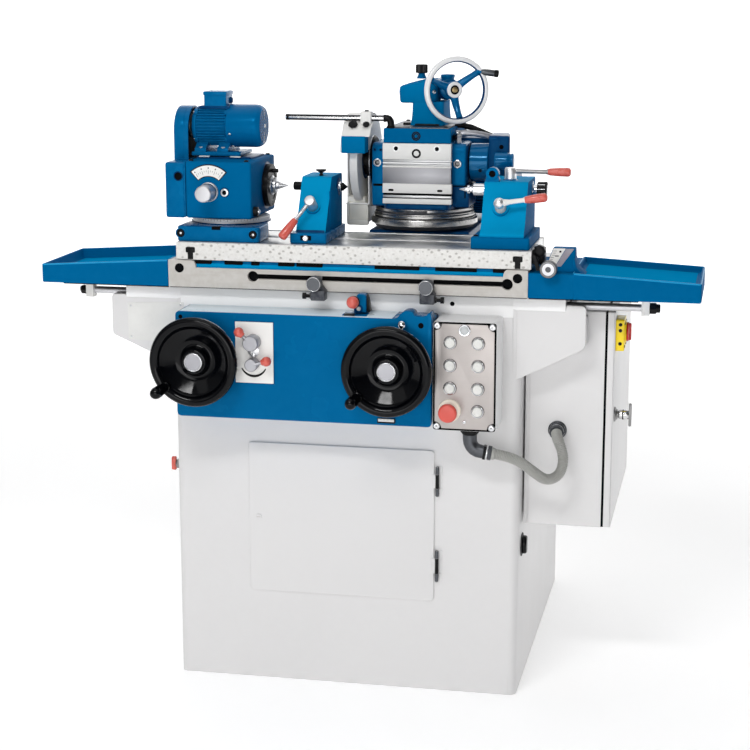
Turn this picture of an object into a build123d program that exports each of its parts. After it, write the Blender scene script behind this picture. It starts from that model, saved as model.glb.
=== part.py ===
from build123d import *
import os
from math import sin, cos, tan, radians

os.makedirs("parts", exist_ok=True)

# ---------------------------------------------------------------- driving dimensions (mm)
BASE_W, BASE_D, BASE_WALL = 782.0, 846.0, 15.0        # pedestal footprint and wall
BED_TOP, WAY_TOP = 885.0, 904.6                       # bed deck and slideway height
WING_L, WING_R = -535.0, 529.0                        # ends of the bed overhangs
WING_DL, WING_DR = 240.0, 58.0                        # depth of the left and right overhang
DOOR = (-220.0, 208.0, 212.0, 559.0)                  # x0, x1, z0, z1 of the front door
APRON = (-358.0, 210.0, -90.0, 632.6, 867.0)          # x0, x1, front y, z0, z1
HW_R, HW_L, HW_RT = 100.0, (-305.0, 763.5), (121.0, 759.7)   # apron handwheels: radius, centres
PANEL = (215.0, 351.0, -98.0, 630.0, 866.0)           # push-button box
BTN_XL, BTN_XR = 252.0, 312.0
BTN_Z = (821.5, 772.0, 722.5, 674.0)
TABLE = (-392.0, 406.0, -25.0, 235.0, 910.0, 969.0)   # lower table
SWIVEL = (-375.0, 412.0, -20.0, 225.0, 970.0, 1009.0) # upper swivel table
TRAY_L, TRAY_R, TRAY_Y = -689.0, 771.0, 228.0
ROD_Y, ROD_Z, ROD_R = 35.0, 887.0, 8.0
AX_Y, AX_Z = 160.0, 1119.0                            # line of centres over the table
WS_X, WS_Y, WS_Z = 112.0, 350.0, 1163.0               # wheel spindle
RING_Y, RING_R = 375.0, 125.0                         # wheelhead swivel
CAB = (405.0, 570.0, 62.0, 600.0, 385.0, 872.0)       # electrical cabinet x, y, z
Y0 = 423.0          # the frame's origin is on the floor under the middle of the pedestal


def bx(x0, x1, y0, y1, z0, z1, f=0):
    b = Pos((x0 + x1) / 2, (y0 + y1) / 2, (z0 + z1) / 2) * Box(abs(x1 - x0), abs(y1 - y0), abs(z1 - z0))
    return fillet(b.edges(), f) if f else b


def cyl(p, d, r, h):
    """cylinder from p along d"""
    pl = Plane(origin=p, z_dir=d)
    return pl * Cylinder(r, h, align=(Align.CENTER, Align.CENTER, Align.MIN))


def cone(p, d, r1, r2, h):
    return Plane(origin=p, z_dir=d) * Cone(r1, r2, h, align=(Align.CENTER, Align.CENTER, Align.MIN))


def ball(p, r):
    return Pos(*p) * Sphere(r)


def ex_x(pts, x0, x1):
    """(y, z) outline extruded along X"""
    w = Wire.make_polygon([Vector(x0, y, z) for y, z in pts], close=True)
    return Solid.extrude(Face(w), Vector(x1 - x0, 0, 0))


def ex_y(pts, y0, y1):
    """(x, z) outline extruded along Y"""
    w = Wire.make_polygon([Vector(x, y0, z) for x, z in pts], close=True)
    return Solid.extrude(Face(w), Vector(0, y1 - y0, 0))


def ex_z(pts, z0, z1):
    """(x, y) outline extruded along Z"""
    w = Wire.make_polygon([Vector(x, y, z0) for x, y in pts], close=True)
    return Solid.extrude(Face(w), Vector(0, 0, z1 - z0))


def rnd(s, axis, f, pick=None):
    """round the edges that run along one axis"""
    e = s.edges().filter_by(axis)
    if pick:
        e = e.filter_by(pick)
    return fillet(e, f)


def turned(p, d, prof):
    """turned piece: list of (radius, start, end) steps along d"""
    out = None
    for r, a, b in prof:
        q = Vector(*p) + Vector(*d).normalized() * a
        c = cyl(q, d, r, b - a)
        out = c if out is None else out + c
    return out


nodes = {}


def save(name, s):
    if isinstance(s, (list, tuple)):
        s = Compound(children=list(s)) if len(s) > 1 else s[0]
    s = Pos(0, -Y0, 0) * s
    nodes[name] = s
    export_step(s, "parts/" + name + ".step")


# ---------------------------------------------------------------- base and bed
hw, t = BASE_W / 2, BASE_WALL
ped = rnd(bx(-hw, hw, 0, BASE_D, 0, BED_TOP), Axis.Z, 6)
wl = ex_y([(WING_L, BED_TOP), (WING_L, 793), (-hw, 731), (-hw, BED_TOP)], 0, WING_DL)
wr = ex_y([(hw, BED_TOP), (hw, 730), (WING_R, 799), (WING_R, BED_TOP)], 0, WING_DR)
wl = fillet(wl.edges().filter_by(Axis.Z).group_by(Axis.X)[0], 8)
wr = fillet(wr.edges().filter_by(Axis.Z).group_by(Axis.X)[-1], 8)
base = ped
base = base - bx(-hw + t, hw - t, t, BASE_D - t, t, BED_TOP - t)
wl = wl - bx(WING_L + 12, -hw - 8, 108, WING_DL - 12, 815, BED_TOP - 9) - bx(WING_L + 12, -hw - 8, 13, 57, 815, BED_TOP + 1)
wr = wr - bx(hw + 8, WING_R - 12, 13, WING_DR - 12, 815, BED_TOP + 1)
wr = wr + bx(hw, 490, WING_DR - 2, WING_DL, 876, BED_TOP)
gut = bx(-540, 540, 13, 57, 864, 920)
wl, wr = wl - gut, wr - gut
base = base + bx(-500, 485, 0, 13, BED_TOP, 906)                           # raised front lip below the table
base = base - bx(-540, 540, 13, 57, 864, 920)                             # gutter for the table cylinder
base = base - bx(92, 150, 470, 800, BED_TOP - t - 1, BED_TOP + 1)          # slot for the feed nut
d0, d1, d2, d3 = DOOR
op = rnd(bx(d0 + 16, d1 - 16, -1, t + 1, d2 + 16, d3 - 16), Axis.Y, 12)
base = base - op
base = base - cyl((hw - 30, 74, 334), (1, 0, 0), 15, 40)                   # cable hole, right side
base = base - cyl((-hw - 1, 34, 490), (1, 0, 0), 8.05, 20)                 # drain, left side
base = base - cyl((HW_L[0], -1, HW_L[1]), (0, 1, 0), 10.05, 20)
base = base - cyl((HW_RT[0], -1, HW_RT[1]), (0, 1, 0), 10.05, 20)
base = base - cyl((452 - 212, -1, 888), (0, 1, 0), 5, 12)                  # small plugged hole in the bed front
# screw bearing pedestal inside, behind the front wall
brg = bx(95, 147, 14, 60, 700, 786) - cyl((HW_RT[0], 10, HW_RT[1]), (0, 1, 0), 10.05, 60)
base = base + brg
# door hinge pins stand on the pedestal beside the opening
HX, HY = d1 + 3.0, -7.0
pins = []
for z0, z1 in ((455, 525), (258, 332)):
    pins.append(cyl((HX, HY, z0), (0, 0, 1), 3.0, z1 - z0))
    base = base + (bx(HX - 4, HX + 14, -1.5, 0.5, z0 + 2, z0 + 18) + bx(HX - 4, HX + 4, -3, 0, z0 + 2, z0 + 18) + cyl((HX, HY, z0 + 2), (0, 0, 1), 5, 16)) - pins[-1]
    base = base + (bx(HX - 4, HX + 14, -1.5, 0.5, z1 - 18, z1 - 2) + bx(HX - 4, HX + 4, -3, 0, z1 - 18, z1 - 2) + cyl((HX, HY, z1 - 18), (0, 0, 1), 5, 16)) - pins[-1]
save("base_casting", [base, wl, wr] + pins)

door = rnd(bx(d0, d1 - 4, -5, -1.5, d2, d3), Axis.Y, 8)
for z0, z1 in ((455, 525), (258, 332)):
    k = bx(d1 - 12, HX - 1, -8.5, -4, z0 + 19, z1 - 19) + cyl((HX, HY, z0 + 19), (0, 0, 1), 5, z1 - z0 - 38)
    k = k - bx(d1 - 30, HX + 10, -1.5, 3, z0, z1)
    door = door + k
    door = door - cyl((HX, HY, z0), (0, 0, 1), 3.05, z1 - z0)
door = door + cyl((d0 + 22, -8, (d2 + d3) / 2), (0, 1, 0), 7, 4)            # quarter-turn catch
save("base_door", door)

# ---------------------------------------------------------------- slideways
ways = []
ways.append(bx(-500, 485, 62, 100, BED_TOP, WAY_TOP))
ways.append(ex_x([(136, BED_TOP), (204, BED_TOP), (204, 894), (182, WAY_TOP), (158, WAY_TOP), (136, 894)], -500, 485))
for x0, x1 in ((-10, 50), (178, 238)):
    ways.append(bx(x0, x1, 345, 840, BED_TOP, WAY_TOP))
save("slideways", ways)

# ---------------------------------------------------------------- hydraulic cylinder below the table
cy = cyl((-470, ROD_Y, ROD_Z), (1, 0, 0), 18, 940) - cyl((-455, ROD_Y, ROD_Z), (1, 0, 0), 14, 910) - cyl((-480, ROD_Y, ROD_Z), (1, 0, 0), ROD_R + 0.05, 960)
for x0 in (-340, 310):
    cy = cy + (bx(x0, x0 + 28, 15, 55, 864, 876) - cyl((-480, ROD_Y, ROD_Z), (1, 0, 0), 17, 960))
rod = cyl((-621, ROD_Y, ROD_Z), (1, 0, 0), ROD_R, 1301) + cyl((-12, ROD_Y, ROD_Z), (1, 0, 0), 13.95, 24)
rod = rod + rnd(bx(-604, -586, 22, 48, 871, 910), Axis.X, 3) + rnd(bx(644, 662, 22, 48, 871, 910), Axis.X, 3)
rod = rod + cyl((-619, ROD_Y, ROD_Z), (1, 0, 0), 11, 15) + Plane(origin=(662, ROD_Y, ROD_Z), z_dir=(1, 0, 0)) * extrude(RegularPolygon(13, 6), 22)
save("piston_rod", rod)

# ---------------------------------------------------------------- oil tank with its pump motor behind the door
tank = bx(-300, 300, 300, 720, 15, 190) - bx(-294, 294, 306, 714, 21, 184)
tank = tank + bx(-60, 60, 420, 540, 190, 200) + cyl((0, 480, 200), (0, 0, 1), 70, 200) + cyl((0, 480, 400), (0, 0, 1), 60, 30) + bx(66, 110, 440, 520, 260, 340)
save("hydraulics", [cy, tank])

# ---------------------------------------------------------------- apron
a0, a1, ay, az0, az1 = APRON
ap = rnd(bx(a0, a1, ay, 0, az0, az1), Axis.Y, 9)
ap = ap + rnd(bx(131, a1, ay, ay + 40, 840, 884), Axis.Y, 8)                # raised ear, top right
ap = ap - bx(a0 + 10, a1 - 10, ay + 10, 1, az0 + 10, az1 - 10)
for cx, cz in (HW_L, HW_RT):
    ap = ap - cyl((cx, ay - 1, cz), (0, 1, 0), 10.05, 14)
ap = ap - cyl((-346, ay - 1, 855), (0, 1, 0), 4, 8) - cyl((176, ay - 1, 852), (0, 1, 0), 4.5, 8)
LV1, LV2 = (-180.5, 806.5), (-181.0, 758.0)
for cx, cz in (LV1, LV2):
    ap = ap - cyl((cx, ay - 1, cz), (0, 1, 0), 6.05, 14)
RV = (45.0, 880.0)                                                           # reversing lever pivot
ap = ap + bx(28, 62, -30, -20, 866, 892) + cyl((RV[0], -25, RV[1]), (0, -1, 0), 5, 33)
ap = ap + cyl((112, ay + 1, 644), (0, -1, 0), 1, 1)
ap = ap + bx(95, 131, ay - 6, ay + 1, 640, 648)                              # vernier plate below the feed wheel

lp = rnd(bx(-222, -138, ay - 3, ay, 714, 848), Axis.Y, 2)
for cx, cz in (LV1, LV2):
    lp = lp - cyl((cx, ay - 4, cz), (0, 1, 0), 6.05, 6)
save("apron_housing", [ap, lp])


def lever(c, ang, length, hub_r, hub_len):
    cx, cz = c
    b = cyl((cx, ay - 3.4, cz), (0, -1, 0), hub_r, hub_len) + cyl((cx, ay - 4, cz), (0, 1, 0), 6, 30)
    e = (cx + length * cos(radians(ang)), ay - hub_len + 2, cz + length * sin(radians(ang)))
    d = (cos(radians(ang)), 0, sin(radians(ang)))
    b = b + (cyl((cx, ay - hub_len + 2, cz), d, 4, length) + Plane(origin=e, z_dir=d) * Sphere(11))
    return b


save("speed_lever", lever(LV1, 136, 35, 17, 34))
save("start_lever", lever(LV2, 16, 36, 14, 30))

rv = cyl((RV[0], -31, RV[1]), (0, -1, 0), 11, 26) + bx(40, 61, -57, -31, 872, 912)
rv = rv + cyl((43, -57, 899), (0, -1, 0), 5, 24) + ball((39, -90, 899), 14)
rv = rv - cyl((RV[0], -20, RV[1]), (0, -1, 0), 5.05, 42)
save("reversing_lever", rv)

# ---------------------------------------------------------------- apron handwheels
def handwheel(c, shaft_to):
    cx, cz = c
    w = cyl((cx, -124, cz), (0, -1, 0), HW_R, 22) - cyl((cx, -130, cz), (0, -1, 0), 84, 30)
    w = w + cone((cx, -120, cz), (0, -1, 0), 40, 84, 10) - cone((cx, -127, cz), (0, -1, 0), 36, 84, 12)
    w = w + cyl((cx, -94, cz), (0, -1, 0), 26, 40) + cyl((cx, -134, cz), (0, -1, 0), 21, 5)
    hx, hz = cx + 82 * cos(radians(222)), cz + 82 * sin(radians(222))
    w = w + cyl((hx, -128, hz), (0, -1, 0), 8, 26) + cone((hx, -150, hz), (0, -1, 0), 9, 12, 62) + ball((hx, -213, hz), 12)
    w = w + cyl((cx, -96, cz), (0, 1, 0), 10, shaft_to + 96)
    return w


save("table_handwheel", handwheel(HW_L, 46) + cyl((HW_L[0], 18, HW_L[1]), (0, 1, 0), 22, 24))
save("feed_handwheel", handwheel(HW_RT, 790))

# ---------------------------------------------------------------- push-button box
p0, p1, py, pz0, pz1 = PANEL
cb = rnd(bx(p0, p1, py + 2, 0, pz0, pz1), Axis.Y, 6)
cb = cb - bx(p0 + 4, p1 - 4, py - 1, -4, pz0 + 4, pz1 - 4)
save("control_box", cb)
BT = [(BTN_XL, BTN_Z[0]), (BTN_XR, BTN_Z[0]), (BTN_XL, BTN_Z[1]), (BTN_XR, BTN_Z[1]), (BTN_XL, BTN_Z[2]), (BTN_XR, BTN_Z[2]), (BTN_XR, BTN_Z[3])]
ES, LAMP = (252.0, 674.0), (282.5, 849.0)
pl = rnd(bx(p0 + 2, p1 - 2, py, py + 2, pz0 + 2, pz1 - 2), Axis.Y, 5)
for x, z in BT:
    pl = pl - cyl((x, py - 1, z), (0, 1, 0), 11.3, 5)
pl = pl - cyl((ES[0], py - 1, ES[1]), (0, 1, 0), 8.3, 5)
save("control_panel", pl)
bz = [cyl((x, py, z), (0, -1, 0), 14.5, 6) - cyl((x, py + 1, z), (0, -1, 0), 11.3, 9) for x, z in BT]
bz.append(cyl((LAMP[0], py, LAMP[1]), (0, -1, 0), 13, 7))
bz.append(cyl((ES[0], py, ES[1]), (0, -1, 0), 29, 4) - cyl((ES[0], py + 1, ES[1]), (0, -1, 0), 8.3, 6))
for x, z in ((p0 + 9, pz0 + 9), (p1 - 9, pz0 + 9), (p0 + 9, pz1 - 9), (p1 - 9, pz1 - 9)):
    bz.append(cyl((x, py, z), (0, -1, 0), 5, 3))
save("panel_fittings", bz)
for i, (x, z) in enumerate(BT, 1):
    save("push_button_%d" % i, cyl((x, py + 6, z), (0, -1, 0), 11, 15))
es = cyl((ES[0], py + 10, ES[1]), (0, -1, 0), 8, 24) + cyl((ES[0], py - 13, ES[1]), (0, -1, 0), 20, 14)
save("stop_button", es)

# ---------------------------------------------------------------- conduit from the button box to the cabinet
ROUTE = [(345, -50, 574), (386, -46, 557), (424, -34, 527), (453, -20, 509), (479, -6, 521), (488, 2, 551), (483, 4, 582), (471, 16, 604), (467, 40, 610)]
CON_R = 11.0
vs = [Vector(*q) for q in ROUTE]
rad = []
for i in range(1, len(vs) - 1):
    u, v = vs[i] - vs[i - 1], vs[i + 1] - vs[i]
    turn = u.get_angle(v)
    rad.append(0.45 * min(u.length, v.length) / tan(radians(turn / 2)))
print("conduit radii", [round(r) for r in rad], "runs", [round((vs[i + 1] - vs[i]).length) for i in range(len(vs) - 1)])
path = FilletPolyline(*vs, radius=rad)
con = sweep(Plane(origin=path @ 0, z_dir=path % 0) * Circle(CON_R), path=path)
print("conduit length", path.length, "volume ratio", con.volume / (3.14159265 * CON_R ** 2 * path.length))
save("conduit", con)
d_in, d_out = (vs[1] - vs[0]).normalized(), (vs[-1] - vs[-2]).normalized()
el = cyl((289, -50, pz0), (0, 0, -1), 20, 18) + cyl((289, -50, pz0 - 18), (0, 0, -1), 15, 16) + ball((289, -50, pz0 - 36), 16)
el = el + cyl((289, -50, pz0 - 36), (vs[0] - Vector(289, -50, pz0 - 36)), 14, (vs[0] - Vector(289, -50, pz0 - 36)).length - 16)
el = el + cyl(vs[0] - d_in * 18, d_in, 15, 18)
gl = cyl(vs[-1], d_out, 15, 10) + cyl((467, 44, 611), (0, 1, 0), 19, 18)
save("conduit_fittings", [el, gl])

# ---------------------------------------------------------------- electrical cabinet
c0, c1, cy0, cy1, cz0, cz1 = CAB
cab = rnd(bx(c0, c1, cy0, cy1, cz0, cz1), Axis.X, 3) - bx(c0 + 3, c1 + 1, cy0 + 3, cy1 - 3, cz0 + 3, cz1 - 3)
for z in (420, 700):
    for y in (110, 520):
        cab = cab + bx(hw, c0 + 1, y - 20, y + 20, z - 15, z + 15)          # stand-off feet on the pedestal
cab = cab - cyl((467, cy0 - 1, 611), (0, 1, 0), 12, 6)
CHX, CHY = 580.0, cy1 + 4.0
pins2 = []
for z0 in (440, 760):
    pins2.append(cyl((CHX, CHY, z0), (0, 0, 1), 3, 60))
    kn = bx(552, CHX - 2, cy1 - 0.5, cy1 + 3, z0 + 1, z0 + 19) + bx(552, CHX - 2, cy1 - 0.5, cy1 + 3, z0 + 41, z0 + 59)
    kn = kn + cyl((CHX, CHY, z0 + 1), (0, 0, 1), 5, 18) + cyl((CHX, CHY, z0 + 41), (0, 0, 1), 5, 18)
    cab = cab + kn - cyl((CHX, CHY, z0 - 5), (0, 0, 1), 3, 70)
save("cabinet_box", [cab] + pins2)
cd = rnd(bx(c1 + 2, c1 + 18, cy0, cy1 - 4, cz0 + 1, cz1 - 1), Axis.X, 3) - bx(c1, c1 + 15, cy0 + 3, cy1 - 7, cz0 + 4, cz1 - 4)
for z0 in (440, 760):
    cd = cd + bx(c1 + 8, c1 + 13, cy1 - 8, CHY, z0 + 20, z0 + 40) + cyl((CHX, CHY, z0 + 20), (0, 0, 1), 5, 20)
    cd = cd - cyl((CHX, CHY, z0 - 5), (0, 0, 1), 3.05, 70)
LK, SW = (97.0, 637.0), (104.0, 822.0)
cd = cd + rnd(bx(c1 + 18, c1 + 40, 72, 136, 783, 861), Axis.X, 4)            # main switch housing
cd = cd + cyl((c1 + 17, LK[0], LK[1]), (1, 0, 0), 13, 5)
cd = cd - cyl((c1 + 10, LK[0], LK[1]), (1, 0, 0), 7.05, 20) - cyl((c1 + 20, SW[0], SW[1]), (1, 0, 0), 6.05, 30)
save("cabinet_door", cd)
lk = cyl((c1 + 6, LK[0], LK[1]), (1, 0, 0), 7, 48) + rnd(bx(c1 + 48, c1 + 56, LK[0] - 7, LK[0] + 7, LK[1] - 27, LK[1] + 27), Axis.X, 5)
lk = lk + bx(c1 + 6, c1 + 9, LK[0] - 30, LK[0] + 7, LK[1] - 7, LK[1] + 7)
save("door_lock", lk)
ks = cyl((c1 + 40.5, SW[0], SW[1]), (1, 0, 0), 21.5, 5) + rnd(bx(c1 + 44, c1 + 50, SW[0] - 6, SW[0] + 6, SW[1] - 20, SW[1] + 20), Axis.X, 4) + cyl((c1 + 22, SW[0], SW[1]), (1, 0, 0), 6, 20)
save("main_switch_knob", ks)
eq = bx(c0 + 3, c0 + 7, 90, 570, 410, 850)
for z, n in ((780, 6), (660, 6), (540, 4)):
    for i in range(n):
        eq = eq + rnd(bx(c0 + 7, c0 + 75, 110 + i * 70, 160 + i * 70, z - 35, z + 35), Axis.X, 4)
eq = eq + bx(c0 + 7, c0 + 45, 100, 560, 440, 470)
save("cabinet_equipment", eq)

dk = cyl((-hw + 12, 34, 490), (-1, 0, 0), 8, 22) + cyl((-hw - 0.4, 34, 490), (-1, 0, 0), 12, 12) + rnd(bx(-hw - 22, -hw - 12, 27, 41, 474, 506), Axis.X, 5)
save("drain_cock", dk)

# ---------------------------------------------------------------- lower table, trays, dogs
t0, t1, ty0, ty1, tz0, tz1 = TABLE
lt = bx(t0, t1, ty0, ty1, 938, tz1) + bx(t0, t1, ty0, -4, tz0, 940) + bx(t0, t1, 215, ty1, tz0, 940)
lt = lt + bx(t0, t0 + 12, ty0, ty1, tz0, 940) + bx(t1 - 12, t1, ty0, ty1, tz0, 940)
lt = lt + bx(t0, t1, 60, 102, 905, 940) + bx(t0, t1, 134, 206, 905, 940)
lt = lt - bx(-199, 362, ty0 - 1, -14, 934, 942) - bx(-199, 362, -17.5, -9.5, 929, 947)
lt = lt - cyl((-199, ty0 - 1, 938), (0, 1, 0), 10, 16) - cyl((362, ty0 - 1, 938), (0, 1, 0), 10, 16)
lt = lt - bx(-335, 355, ty0 - 1, -13, 954, 970)
lt = lt - cyl((-365, ty0 - 1, 953), (0, 1, 0), 9, 12) - cyl((385, ty0 - 1, 952), (0, 1, 0), 9, 12)
PV = (18.0, 100.0)
lt = lt + cyl((PV[0], PV[1], 960), (0, 0, 1), 15, 24)
save("lower_table", lt)

trl = ex_y([(TRAY_L, 910), (t0, 910), (t0, 969), (TRAY_L, 951)], ty0, TRAY_Y) - bx(TRAY_L + 4, t0 - 4, ty0 + 4, TRAY_Y - 4, 934, 990) - bx(TRAY_L + 4, t0 - 4, ty0 + 4, TRAY_Y - 4, 909, 930)
trr = ex_y([(500, 910), (TRAY_R, 910), (TRAY_R, 951), (500, 966)], ty0, TRAY_Y) - bx(504, TRAY_R - 4, ty0 + 4, TRAY_Y - 4, 936, 990) - bx(504, TRAY_R - 4, ty0 + 4, TRAY_Y - 4, 909, 932)
TK = (451.0, 976.0)
trr = trr + bx(t1, 501, ty0, TRAY_Y, 910, 964) - bx(t1 + 8, 492, -14, TRAY_Y - 10, 909, 950)
save("end_trays", [trl, trr])
kb = cyl((TK[0], ty0 - 0.4, TK[1]), (0, -1, 0), 10, 6) + cyl((TK[0], ty0 - 6, TK[1]), (0, -1, 0), 16.5, 18) + cyl((TK[0], ty0 - 5, TK[1]), (0, 1, 0), 5, 60)
save("taper_knob", kb)
ta = ex_y([(442, 964), (500, 964), (500, 1012), (486, 1014), (450, 985), (442, 985)], 8, 66) - cyl((TK[0], 7, TK[1]), (0, 1, 0), 5.05, 30)
save("taper_scale_block", ta)


def dog(x, side):
    b = rnd(bx(x - 17, x + 17, -54, ty0 - 0.4, 893, 922), Axis.Y, 3)
    b = b + cyl((x, ty0 - 0.4, 930), (0, -1, 0), 9, 14) + cyl((x, -38, 930), (0, -1, 0), 17, 22)
    b = b + cyl((x, ty0 - 1, 938), (0, 1, 0), 3.7, 9) + bx(x - 10, x + 10, -17, -10, 929.5, 946.5)
    b = b + cyl((x + side * 16, -42, 902), (side, 0, 0), 4, 20) + cyl((x + side * 28, -42, 902), (side, 0, 0), 7, 8)
    return b


save("left_dog", dog(-55, -1))
save("right_dog", dog(191, 1))

# ---------------------------------------------------------------- swivel table
s0, s1, sy0, sy1, sz0, sz1 = SWIVEL
sw = bx(s0, s1, sy0, sy1, sz0, sz1) - bx(s0 - 1, s1 + 1, 92, 106, 994, 1010) - bx(s0 - 1, s1 + 1, 86, 112, 986, 996)
sw = sw - cyl((PV[0], PV[1], 960), (0, 0, 1), 15.05, 25)
sw = sw - bx(s0 - 1, s1 + 1, 200, 214, 1000, 1010)
sw = sw + bx(s1, 436, 14, 52, 976, 1018)
save("swivel_table", sw)

# ---------------------------------------------------------------- workhead
WP = (-288.0, 124.0)
wb = rnd(bx(-378, -190, -5, 205, 1009, 1042), Axis.Z, 10) + cyl((WP[0], WP[1], 1042), (0, 0, 1), 88, 14.6) + cyl((WP[0], WP[1], 1050), (0, 0, 1), 20, 24)
for x in (-364, -204):
    wb = wb - cyl((x, -6, 1026), (0, 1, 0), 8, 9)
save("workhead_base", wb)
wh = rnd(bx(-364, -213, 20, 228, 1057, 1183), Axis.X, 5) - bx(-352, -225, 32, 216, 1080, 1171)
gd = rnd(bx(-410, -364, 20, 215, 1057, 1179), Axis.X, 4) + bx(-412, -378, 95, 205, 1170, 1242) + cyl((-412, 150, 1242), (1, 0, 0), 55, 34)
gd = gd - bx(-407, -368, 30, 207, 1066, 1172) - bx(-408, -377, 100, 200, 1160, 1242) - cyl((-408, 150, 1242), (1, 0, 0), 50, 40)
gd = gd - cyl((-412, AX_Y, AX_Z), (1, 0, 0), 14.05, 60)
wh = wh - cyl((WP[0], WP[1], 1050), (0, 0, 1), 20.05, 26) - cyl((-370, AX_Y, AX_Z), (1, 0, 0), 14.05, 170)
WK = (-309.0, 1116.0)
wh = wh - cyl((WK[0], 10, WK[1]), (0, 1, 0), 6.05, 30)
save("workhead_body", [wh, gd])
wsp = turned((0, AX_Y, AX_Z), (1, 0, 0), [(40, -398, -384), (14, -384, -212.6), (48, -212.6, -200), (18, -200, -190), (9, -190, -184)]) + cone((-184, AX_Y, AX_Z), (1, 0, 0), 8, 1.2, 20)
save("workhead_spindle", wsp)
wk = cyl((WK[0], 19.6, WK[1]), (0, -1, 0), 21, 6) + cyl((WK[0], 15, WK[1]), (0, -1, 0), 18.5, 45) + cyl((WK[0], 18, WK[1]), (0, 1, 0), 6, 22)
save("workhead_knob", wk)
MY, MZ = 150.0, 1253.0
mo = cyl((-376, MY, MZ), (1, 0, 0), 44, 88) + cyl((-289, MY, MZ), (1, 0, 0), 48, 74) + rnd(bx(-348, -296, MY - 28, MY + 26, 1285, 1330), Axis.Z, 3)
mo = mo + bx(-372, -258, MY - 52, MY + 52, 1183, 1195) + bx(-366, -280, MY - 34, MY + 34, 1194, 1225) + cyl((-400, MY, MZ), (1, 0, 0), 9, 30) + cyl((-398, MY, MZ), (1, 0, 0), 25, 14)
save("workhead_motor", mo)

# ---------------------------------------------------------------- left footstock
fb = rnd(bx(-124, -41, 10, 205, 1009, 1030), Axis.Z, 4) + ex_x([(28, 1029), (200, 1029), (200, 1147), (95, 1147)], -115, -48)
fb = fb - cyl((-120, AX_Y, AX_Z), (1, 0, 0), 12.05, 80) - bx(-92, -76, 9, 24, 1015, 1023)
FN, FT = Vector(0, -0.8693, 0.4943), Vector(0, -0.4943, -0.8693)
FP = Vector(-83, 28 + 55 * 67 / 118, 1084)
fb = fb - cyl(FP - FN * 30, FN, 7.05, 40)
save("footstock_body", fb)
save("footstock_quill", turned((0, AX_Y, AX_Z), (1, 0, 0), [(9.5, -150, -122), (12, -124, -40), (8, -40, -34)]) + cone((-34, AX_Y, AX_Z), (1, 0, 0), 7, 1, 8))
fl = cyl(FP - FN * 28, FN, 7, 30) + cyl(FP + FN * 0.4, FN, 12, 38)
fd = (FT * 0.85 + Vector(-0.53, 0, 0)).normalized()
fl = fl + cyl(FP + FN * 30, fd, 4.5, 60) + cone(FP + FN * 30 + fd * 52, fd, 7, 10, 52)
save("footstock_lever", fl)

# ---------------------------------------------------------------- right tailstock
tb = bx(278, 405, 0, 205, 1009, 1034) + ex_x([(0, 1033), (205, 1033), (205, 1147), (72, 1147), (22, 1056), (6, 1040)], 297, 392)
tb = tb + bx(300, 326, 74, 94, 1146, 1163) + cyl((313, 74, 1163), (0, 1, 0), 13, 20) - cyl((313, 70, 1163), (0, 1, 0), 5, 30)
tb = tb - cyl((290, AX_Y, AX_Z), (1, 0, 0), 14.05, 110)
TN, TU = Vector(0, -0.8765, 0.4815), Vector(0, 0.4815, 0.8765)
TP = Vector(337, 22 + 36 * 50 / 91, 1092)
TL = (348.0, 112.0)
tb = tb - cyl(TP - TN * 30, TN, 7.05, 40) - cyl((TL[0], TL[1], 1125), (0, 0, 1), 6.05, 30)
save("tailstock_body", tb)
save("tailstock_quill", cone((228, AX_Y, AX_Z), (1, 0, 0), 1, 7, 24) + turned((0, AX_Y, AX_Z), (1, 0, 0), [(9, 252, 262), (14, 261, 406), (21, 405, 426)]))
tq = cyl((TL[0], TL[1], 1127), (0, 0, 1), 6, 22) + cyl((TL[0], TL[1], 1147.4), (0, 0, 1), 11, 32) + cyl((TL[0], TL[1], 1166), (1, 0, 0), 4, 86) + cone((TL[0] + 78, TL[1], 1166), (1, 0, 0), 7, 10, 54)
save("tailstock_quill_lever", tq)
tl = cyl(TP - TN * 28, TN, 7, 30) + cyl(TP + TN * 0.4, TN, 12, 38)
td = (TU * 0.16 + Vector(0.985, 0, 0)).normalized()
tl = tl + cyl(TP + TN * 30, td, 4.5, 60) + cone(TP + TN * 30 + td * 52, td, 7, 11, 54)
save("tailstock_clamp_lever", tl)

# ---------------------------------------------------------------- cross slide and wheelhead
cs = bx(-6, 230, 300, 835, 905, 1005) - bx(8, 216, 314, 821, 904, 988)
seat = cyl((WS_X, RING_Y, 1005), (0, 0, 1), 70, 9) + cyl((WS_X, RING_Y, 1013), (0, 0, 1), RING_R, 22) + cyl((WS_X, RING_Y, 1030), (0, 0, 1), 40, 26)
cs = cs + bx(95, 147, 560, 620, 735, 990) - cyl((HW_RT[0], 550, HW_RT[1]), (0, 1, 0), 10.05, 80)
save("cross_slide", [cs, seat])

wbod = cyl((WS_X, RING_Y, 1035.4), (0, 0, 1), RING_R - 8, 25) + rnd(bx(34, 190, 276, 520, 1060, 1232), Axis.Z, 4)
wbod = wbod + rnd(bx(34, 190, 268, 500, 1209, 1243), Axis.Z, 3)                                   # top cover
wbod = wbod + rnd(bx(5, 36, 288, 420, 1062, 1206), Axis.X, 14) + rnd(bx(188, 224, 288, 420, 1110, 1206), Axis.X, 14)
wbod = wbod + bx(188, 230, 292, 400, 1062, 1112) + cyl((222, WS_Y, WS_Z), (1, 0, 0), 42, 50)
wbod = wbod - bx(48, 176, 300, 506, 1075, 1228)
wbod = wbod + bx(60, 190, 519, 545, 1013, 1112) + bx(180, 271, 398, 472, 1118, 1214)
wbod = wbod - cyl((WS_X, RING_Y, 1030), (0, 0, 1), 40.05, 27) - cyl((0, WS_Y, WS_Z), (1, 0, 0), 16.05, 290)
save("wheelhead_body", wbod)

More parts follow.
